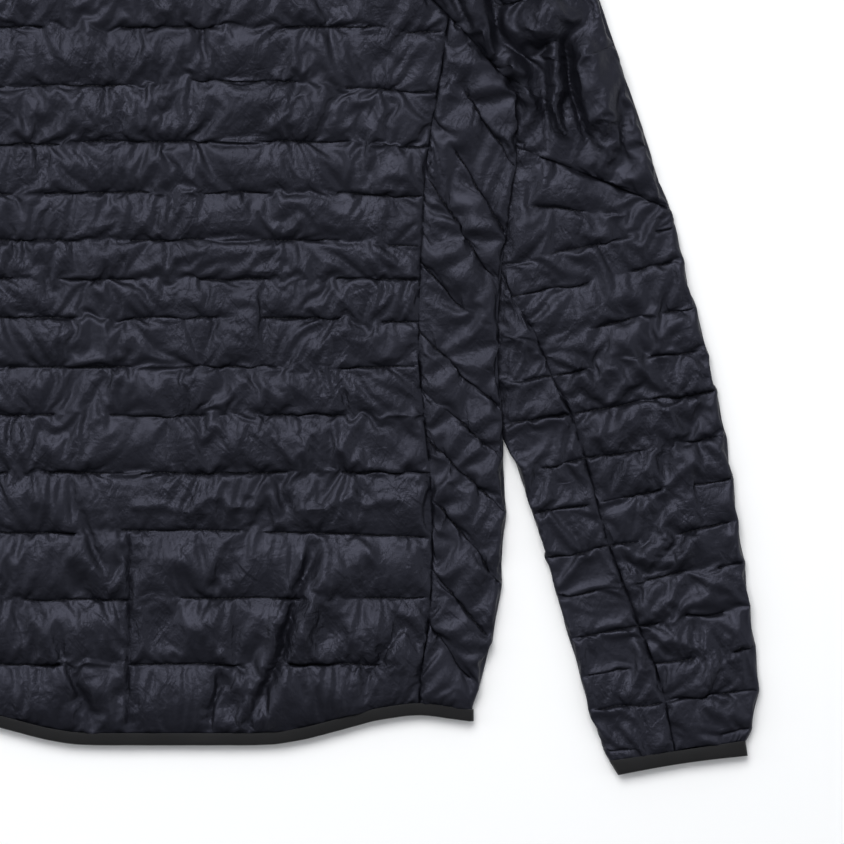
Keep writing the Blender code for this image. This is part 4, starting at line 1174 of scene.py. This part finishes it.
# Big folds of the armpit: line, half width, height
ARMPIT_FOLDS = (
    (((263, 545), (279, 542), (290, 560)), 19.0, 16.0),
    (((218, 598), (225, 556), (237, 522)), 9.0, 12.0),
    (((240, 612), (240, 574)), 13.0, 15.0),
    (((247, 512), (259, 502), (264, 472)), 8.0, 12.0),
    (((286, 532), (283, 508), (287, 491), (284, 478), (289, 460)), 5.0, 13.0),
    (((307, 538), (312, 495), (326, 458)), 15.0, 12.0),
    (((256, 492), (260, 456)), 8.0, 8.0),
)
FLOOR_DEPTH, FLOOR_WIDTH = 1.6, 4.0   # the valleys between the folds are drawn in below the stitches
EDGE_FADE, SEAM_FADE, LOW_FADE = 18.0, 10.0, 14.0  # they flatten towards the edge and the two seams
STEEPNESS, END_HEIGHT = 0.42, 0.35     # how square a fold is, and what is left of it at its ends
ARMHOLE = ((448, 258), (490, 257), (518, 231), (546, 205), (580, 171))  # height, x of the seam


def armpit_shape(base, last):
    """Heaps the cloth of the armpit into its big folds, then tucks it under the body's edge."""
    x, y = base[:, :last, 0], base[:, :last, 1]
    side = ease((x - np.interp(y, *zip(*ARMHOLE))) / SEAM_FADE)
    x0, y0, x1, y1 = UPPER_ROWS[0]
    above = ((x1 - x0) * (y - y0) - (y1 - y0) * (x - x0)) / math.hypot(x1 - x0, y1 - y0)
    heap = np.zeros(x.shape)
    for line, half_width, height in ARMPIT_FOLDS:
        away, _, _, share = nearest_on(line, x, y)
        dome = np.maximum(1 - (away / half_width) ** 2, 0.0) ** STEEPNESS
        to_end = ease(np.minimum(share, 1 - share) * 5)
        heap = np.maximum(heap, height * dome * (END_HEIGHT + (1 - END_HEIGHT) * to_end))
    edge = base[:, last - ARC_COLUMNS - 1:last - ARC_COLUMNS, :2]
    inwards = np.linalg.norm(base[:, :last, :2] - edge, axis=-1)
    inwards[:, last - ARC_COLUMNS:] = 0.0
    side = side * ease(inwards / EDGE_FADE)
    base[:, :last, 2] += heap * side * ease(above / LOW_FADE)
    for line, *_ in ARMPIT_CREASES[:2]:
        floor = 1 - (away_from(line, x, y) / FLOOR_WIDTH) ** 2
        base[:, :last, 2] -= FLOOR_DEPTH * np.maximum(floor, 0.0) * side
    under_body(base, last)


def upper_sleeve(seed):
    rows = [((a, b), (c, d)) for a, b, c, d in UPPER_ROWS]
    return wrapped_panel(rows, UPPER_DASHES, seed, round(SLEEVE_WIDTH / CELL), SLEEVE_FULLNESS,
                         fit=on_raglan, shaping=armpit_shape, creases=ARMPIT_CREASES, loft=under_body_loft)


add_pair("upper_sleeve", upper_sleeve, 51, SLEEVE_FULLNESS)

# %% [markdown]
# ## Fronts
# The two fronts lie underneath, pressed flat by the weight of the jacket. Their quilting is squashed
# against the table, so that only shallow channels are left along the dashes.

# %% Fronts
FRONT_CELL, CHANNEL, CHANNEL_WIDTH, LIFTED = 4.0, 1.3, 5.0, 0.4  # net; channels; rise of the borders
PERIOD, DASH, DASH_END = 116.0, 60.0, 12.0  # of the pressed quilting
FRONT_WIDTH, FRONT_SIDE = 190.0, 184.0
STRAIGHT_FROM, HEM_LINES = 64.0, 8  # below this height the rows follow the hem


def front_loops():
    side = float(back_neck(RAGLAN_NECK))
    lines = []
    shares = np.linspace(0, 1, round(FRONT_WIDTH / FRONT_CELL))
    for v in np.arange(HEM_LINES) / HEM_LINES:
        def row(x):
            return (hem_line(x) + HEM_HEIGHT + SEAM) * (1 - v) + STRAIGHT_FROM * v

        half = width_at_edge(row, back_half_width, FRONT_SIDE) + PAST_SEAM
        x = ZIP_HALF + shares * (half - ZIP_HALF)
        lines.append((x, row(x)))
    for y in np.arange(STRAIGHT_FROM, side - 2.0, FRONT_CELL):
        left = RAGLAN_NECK * math.sqrt(max(0.0, (y + SEAM - FRONT_NECK) / (side - FRONT_NECK)))
        left, right = max(ZIP_HALF, left), float(back_half_width(y)) + PAST_SEAM
        x = left + shares * (right - left)
        lines.append((x, np.full(shares.shape, y)))
    x, y = np.array([a for a, _ in lines]), np.array([b for _, b in lines])
    sunk = np.zeros(x.shape)
    for number, (row, _) in enumerate(BACK_DASHES):
        away = np.abs((x - (number % 2) * PERIOD / 2 + PERIOD / 2) % PERIOD - PERIOD / 2)
        on_dash = 1 - ease((away - DASH / 2) / DASH_END)
        sunk = np.maximum(sunk, on_dash * np.exp(-((y - row) / CHANNEL_WIDTH) ** 2))
    low = CHANNEL * sunk
    low[0] = low[-1] = low[:, 0] = low[:, -1] = LIFTED
    loops = np.concatenate([np.dstack([x, y, low]), ends_at(UNDER, x, y)], axis=1)
    return loops, np.dstack([x, y, np.zeros(x.shape)])


loops, base = front_loops()
for side, turn in SIDES:
    piece = build_piece(f"front_{side}_quilted", loops * turn, nylon)
    finish_piece(piece, f"front_{side}", "quilted_nylon", 187, 640, plan_area(base))

# %% [markdown]
# ## Collar
# The stand collar is one strip from zip to zip round the neck. Laid flat it makes a flattened ring, with
# one row of stitching along its middle.

# %% Places round a flattened opening
FOLD_TURNS = np.radians((-60, -30, 0, 30, 60))
FOLD_HOLLOW = 0.35                # part of a fold's depth that the inside reaches into


def folded(middle, depth, z_under, z_over, turns):
    """Places round a fold: outer reach, outer z, inner reach, inner z."""
    return [(middle + depth * math.cos(turn), z_over / 2 * (1 + math.sin(turn)),
             middle + FOLD_HOLLOW * depth * math.cos(turn),
             (z_under + INSIDE) / 2 + (INSIDE - z_under) / 2 * math.sin(turn)) for turn in turns]


def ring_places(under, over_step, base_under, base_over, height, depth, layers):
    """Stations of a strip that runs from the zip, under, round a fold, over, and back. Each is its
    (x, low y, high y, outer z, inner x, inner z)."""
    half = under[-1]
    z_under, z_over = layers
    right = [(x, float(base_under(x)), float(base_under(x)) + height, 0.0, x, z_under) for x in under]
    y = float(base_over(half))
    right += [(x, y, y + height, z, inner_x, inner_z)
              for x, z, inner_x, inner_z in folded(half, depth, z_under, z_over, FOLD_TURNS)]
    count = 2 * round(half / over_step) + 1
    over = [(x, float(base_over(x)), float(base_over(x)) + height, z_over, x, INSIDE)
            for x in np.linspace(half, -half, count)]
    left = [(-x, low, high, z, -xi, zi) for x, low, high, z, xi, zi in reversed(right)]
    return np.array(right + over + left), len(right)


def ring_inside(places, narrow=1.0):
    """Plain inside of such a strip, from its high side to its low one."""
    return np.dstack([places[:, 4:5] * narrow * np.ones(2), places[:, [2, 1]],
                      np.repeat(places[:, 5:6], 2, axis=1)])


# %% Collar
COLLAR_FULLNESS, COLLAR_START, COLLAR_LIMIT = (0.04, 0.07), 3.0, 5.0
COLLAR_FOLD, COLLAR_SPARE = 5.0, 1.1     # depth of its fold at the neck's ends; spare cloth in its area


def collar_loops():
    under = [*np.linspace(ZIP_HALF, RAGLAN_NECK, 16), 65.0, 70.0, NECK_HALF - COLLAR_FOLD]
    places, edge = ring_places(under, CELL, lambda x: front_neck(x, SEAM / 2),
                               lambda x: back_neck(x) + SEAM / 2, COLLAR_HEIGHT, COLLAR_FOLD,
                               (UNDER, STITCHED))
    columns = 2 * round(COLLAR_HEIGHT / CELL / 2) + 1
    shares = np.linspace(0, 1, columns)
    narrow = 1 - (1 - COLLAR_TAPER) * shares
    x = places[:, :1] * np.where(np.abs(places[:, :1]) <= ZIP_HALF, 1.0, narrow)
    y = places[:, 1:2] + (places[:, 2:3] - places[:, 1:2]) * shares
    z = np.repeat(places[:, 3:4], columns, axis=1)
    base = np.dstack([x, y, z])
    held = np.zeros(x.shape, bool)
    held[:, 0] = held[:, -1] = held[:, columns // 2] = True
    held[:edge - 4] = held[-(edge - 4):] = True
    start = COLLAR_START * np.sin(np.linspace(0, 2 * math.pi, columns)) ** 2 * np.ones((len(places), 1))
    start[held] = 0
    outer = settle(base[:, ::-1], held[:, ::-1], COLLAR_FULLNESS, start[:, ::-1],
                   np.full(held.shape, COLLAR_LIMIT), 61)[:, ::-1]
    inner_narrow = np.where(np.abs(places[:, 4:5]) <= ZIP_HALF, 1.0, narrow[[-1, 0]])
    return np.concatenate([outer, ring_inside(places, inner_narrow)], axis=1), base


loops, base = collar_loops()
collar = build_piece("collar_quilted", loops, nylon)
finish_piece(collar, "collar", "quilted_nylon", 400, 52, plan_area(base) * COLLAR_SPARE)

# %% [markdown]
# ## Bindings
# The raw edges at the hem and the cuffs are wrapped in a folded elastic binding. It is dull, finely
# ribbed along its length, and a little drawn in, so the last puffs swell over it.

# %% Hem binding
# Section of a binding: places over its height, and how far it swells there
SECTION_PLACE = np.array((0.0, 0.06, 0.25, 0.5, 0.75, 0.94, 1.0))
SECTION_SWELL = np.array((0.55, 0.9, 1.04, 1.08, 1.04, 0.9, 0.55)) - 1
CROWN = INSIDE + BINDING          # height of a binding's upper side
SWELL, WAVER = 3.0, 0.3           # height of the swelling, and how much of the unevenness its edge shows


def drawn_in(run, seed):
    """Slight unevenness along a binding, where the elastic pulls."""
    r = np.random.default_rng(seed)
    return sum(r.uniform(0.06, 0.14) * np.sin(run / length + r.uniform(0, 6.28))
               for length in (2.1, 3.7, 6.3, 11.0))


def swollen(height, wave):
    """Heights over a binding's section: it swells most where it lies on top."""
    return height + height / CROWN * (SECTION_SWELL * SWELL + wave[:, None])


def hem_loops():
    half = HEM_CURVE[-1][0] - BINDING_FOLD
    places, _ = ring_places(np.linspace(ZIP_HALF, half, 60), 2.5, hem_line, hem_line, HEM_HEIGHT,
                            BINDING_FOLD, (BINDING, CROWN))
    run = np.concatenate([[0], np.cumsum(np.linalg.norm(np.diff(places[:, :2], axis=0), axis=1))])
    wave = drawn_in(run, 71)
    x = np.repeat(places[:, :1], len(SECTION_PLACE), axis=1)
    y = places[:, 1:2] + HEM_HEIGHT * SECTION_PLACE + WAVER * wave[:, None]
    outer = np.dstack([x, y, swollen(places[:, 3:4], wave)])
    return np.concatenate([outer, ring_inside(places)], axis=1), float(run[-1])


loops, run = hem_loops()
hem_piece = build_piece("hem_binding_ribbed", loops, ribbing)
finish_piece(hem_piece, "hem_binding", "binding", run, HEM_HEIGHT + 2, run * (HEM_HEIGHT + 1))


# %% Cuff bindings
CUFF_HOLLOW, CUFF_SLANT, CUFF_STEP = 1.6, 5.0, 2.5


def cuff_loops():
    x0, y0, x1, y1, _ = SLEEVE_ROWS[0]
    start, end = np.array([x0, y0]), np.array([x1, y1])
    along = (end - start) / np.linalg.norm(end - start)
    down = np.array([along[1], -along[0]])
    length = np.linalg.norm(end - start) - 2 * CUFF_INSET
    fold = BINDING_FOLD
    stations = [(reach, CROWN, reach, INSIDE) for reach in np.arange(fold, length - fold + 0.1, CUFF_STEP)]
    stations += folded(length - fold, fold, BINDING, CROWN, -FOLD_TURNS)
    stations += [(reach, 0.0, reach, BINDING) for reach in np.linspace(length - fold, fold, 24)]
    stations += folded(fold, -fold, BINDING, CROWN, FOLD_TURNS)
    stations = np.array(stations)
    wave = drawn_in(np.arange(len(stations)) * CUFF_STEP, 81)
    base = start + along * CUFF_INSET
    drop = CUFF_HEIGHT * SECTION_PLACE - SEWN_IN

    def shaped(reach, drop):
        """Plan of the cuff: its free edge is hollow, and shorter at the inner side."""
        place = reach / length
        hollow = -CUFF_HOLLOW * np.sin(math.pi * np.clip(place, 0, 1)) * drop / CUFF_HEIGHT
        slant = CUFF_SLANT * (1 - place) * drop / CUFF_HEIGHT
        return base + along * (reach + slant)[..., None] + down * (drop + hollow)[..., None]

    outer = np.dstack([shaped(stations[:, :1], drop[None, :]), swollen(stations[:, 1:2], wave)])
    inner_drop = np.array([CUFF_HEIGHT, 0.0]) - SEWN_IN
    inner_plan = shaped(stations[:, 2:3], inner_drop[None, :])
    inner = np.dstack([inner_plan, np.repeat(stations[:, 3:4], 2, axis=1)])
    return np.concatenate([outer, inner], axis=1), 2 * length


loops, run = cuff_loops()
for side, turn in SIDES:
    piece = build_piece(f"cuff_binding_{side}_ribbed", loops * turn, ribbing, ring=True)
    finish_piece(piece, f"cuff_binding_{side}", "binding", run, CUFF_HEIGHT + 2, run * (CUFF_HEIGHT + 1))

# %% [markdown]
# ## Zip
# The zip lies underneath, between the fronts. Each side is a twill tape with moulded teeth along its
# edge. The slider and its tab come from the frame and get a worn dark metal.

# %% Zip tapes and teeth
TAPE_LOW, TAPE_HIGH, TAPE_EDGE = 2.7, 3.6, 6.8
TOOTH_PITCH, TOOTH = 2.4, (1.3, 0.75, 0.85)     # pitch; half width, half length, half height
TOOTH_MIDDLE, CHAIN_LEVEL, TOOTH_EDGE = 1.2, 3.0, math.radians(35)
TOOTH_OUTLINE = ((-1.0, -0.5), (-0.6, -0.95), (0.35, -0.7), (1.0, -0.95), (1.0, 0.95), (0.35, 0.7),
                 (-0.6, 0.95), (-1.0, 0.5))
ZIP_FOOT, ZIP_STOP, ZIP_HEAD = 2.0, 632.6, 648.0


def tape_loops():
    loops = []
    for y in np.linspace(ZIP_FOOT, ZIP_HEAD, 160):
        inner, bend = (1.0, 2.6) if y < ZIP_STOP else (4.5, 4.9)
        edge = TAPE_EDGE - 0.1 * abs(math.sin(y * 0.9))
        section = ((inner, TAPE_LOW), (bend, TAPE_LOW - 0.05), (edge - 0.5, TAPE_LOW),
                   (edge, TAPE_LOW + 0.25), (edge, TAPE_HIGH - 0.25), (edge - 0.5, TAPE_HIGH),
                   (bend, TAPE_HIGH + 0.05), (inner, TAPE_HIGH))
        loops.append([(x, y, z) for x, z in section])
    return np.array(loops)


def join_rings(points, faces, rings):
    """Adds a closed form through rings of as many points each."""
    first, sides = len(points), len(rings[0])
    last = first + (len(rings) - 1) * sides
    for ring in rings:
        points += [(x * MM, (y - MIDDLE_Y) * MM, z * MM) for x, y, z in ring]
    for start in range(first, last, sides):
        for c in range(sides):
            a, b = start + c, start + (c + 1) % sides
            faces.append((a, b, b + sides, a + sides))
    faces.append(tuple(range(first + sides - 1, first - 1, -1)))
    faces.append(tuple(range(last, last + sides)))


def small_parts(name, points, faces, finish):
    """Teeth or stitches as one piece that rides on the jacket."""
    made = new_piece(name, points, faces, finish)
    made.data.uv_layers.new(name="cloth")
    made.data.shade_smooth()
    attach(made, "jacket")
    return made


def zip_teeth(name, side):
    """Moulded teeth: each a rounded head on the chain's line and a clamp round the tape's edge."""
    half_width, half_length, half_height = TOOTH
    points, faces = [], []
    y = ZIP_FOOT + 4.0 + (0.0 if side > 0 else TOOTH_PITCH / 2)
    while y < ZIP_STOP - 1.0:
        join_rings(points, faces, [
            [(side * (TOOTH_MIDDLE + a * shrink * half_width), y + b * shrink * half_length,
              CHAIN_LEVEL + z * half_height) for a, b in TOOTH_OUTLINE]
            for z, shrink in ((-1.0, 0.8), (-0.6, 1.0), (0.6, 1.0), (1.0, 0.8))])
        y += TOOTH_PITCH
    teeth = small_parts(name, points, faces, moulded)
    teeth.data.set_sharp_from_angle(angle=TOOTH_EDGE)
    return teeth


def hard_material(name, colour, worn, metallic, rough):
    """Painted or moulded hard finish: mottled tone, fine scuffs, and lighter rubbed places."""
    made, tree, shader = new_material(name)
    mix = add(tree, "ShaderNodeMix", [("data_type", "RGBA")], A=(*colour, 1.0), B=(*worn, 1.0),
              Factor=use(tree, mottle, Scale=240.0, Low=0.0, High=1.0))
    bump = add(tree, "ShaderNodeBump", Distance=0.00002,
               Height=use(tree, crumple, Scale=700.0, Sharpness=0.6))
    plug(tree, shader, Base_Color=mix.outputs["Result"], Normal=bump.outputs["Normal"], Metallic=metallic,
         Roughness=use(tree, mottle, Scale=500.0, Low=rough[0], High=rough[1]))
    return made


moulded = hard_material("moulded_teeth", (0.014, 0.014, 0.016), (0.022, 0.022, 0.025), 0.0, (0.3, 0.42))
dark_metal = hard_material("dark_metal", (0.085, 0.085, 0.095), (0.16, 0.16, 0.17), 0.9, (0.26, 0.4))
loops = tape_loops()
for side, turn in SIDES:
    tape = build_piece(f"zip_tape_{side}_twill", loops * turn, tape_cloth)
    teeth = zip_teeth(f"zip_teeth_{side}", 1.0 if side == "right" else -1.0)
    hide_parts(f"zip_tape_{side}")
    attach(tape, "jacket")
for node in ("zip_slider", "zip_pull_tab"):
    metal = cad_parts[node]
    metal.data.materials.clear()
    metal.data.materials.append(dark_metal)
print("zip dressed")

# %% [markdown]
# ## Stitches
# Each dash is a run of lockstitch: short spindles of thread that dip into the cloth at both ends. They
# are modelled, so that a close look shows sewing and not a painted line.

# %% Stitches
STITCH, STITCH_GAP, THREAD = 2.5, 0.7, 0.24
SPINDLE = ((-0.5, 0.25, -0.35), (-0.3, 0.95, 0.05), (0.0, 1.0, 0.15), (0.3, 0.95, 0.05),
           (0.5, 0.25, -0.35))    # rings of a stitch: place along it, share of its thickness, rise
LAID_ON = 0.18                    # how high the thread lies over the net
ROUND = np.radians(np.arange(0, 360, 72))


def sewn(name, runs):
    """Spindles of thread along each run of points, in garment millimetres."""
    points, faces, count = [], [], 0
    for run in runs:
        length = np.concatenate([[0], np.cumsum(np.linalg.norm(np.diff(run, axis=0), axis=1))])
        for k in range(int(length[-1] // (STITCH + STITCH_GAP))):
            centre = (k + 0.5) * (STITCH + STITCH_GAP)
            start, end = [np.array([np.interp(centre + s * STITCH, length, run[:, c]) for c in range(3)])
                          for s in (-0.5, 0.5)]
            along = (end - start) / (np.linalg.norm(end - start) + 1e-9)
            side = np.cross(along, (0, 0, 1.0))
            side /= np.linalg.norm(side) + 1e-9
            up = np.cross(side, along)
            join_rings(points, faces, [
                [(start + end) / 2 + along * reach * STITCH + up * (rise + LAID_ON)
                 + (side * math.cos(turn) + up * math.sin(turn)) * THREAD * fat for turn in ROUND]
                for reach, fat, rise in SPINDLE])
            count += 1
    small_parts(name, points, faces, thread)
    print(name, count, "stitches")


back_runs = []
for row, (_, dashes) in zip(back_stitched[1:], BACK_ROWS):
    for a, b, *_ in dashes:
        on = (back_base[row, :, 0] >= a) & (back_base[row, :, 0] <= b)
        back_runs.append(back_base[row][on])
sewn("stitches_back", back_runs)
sewn("stitches_sides_and_sleeves", STITCH_RUNS)
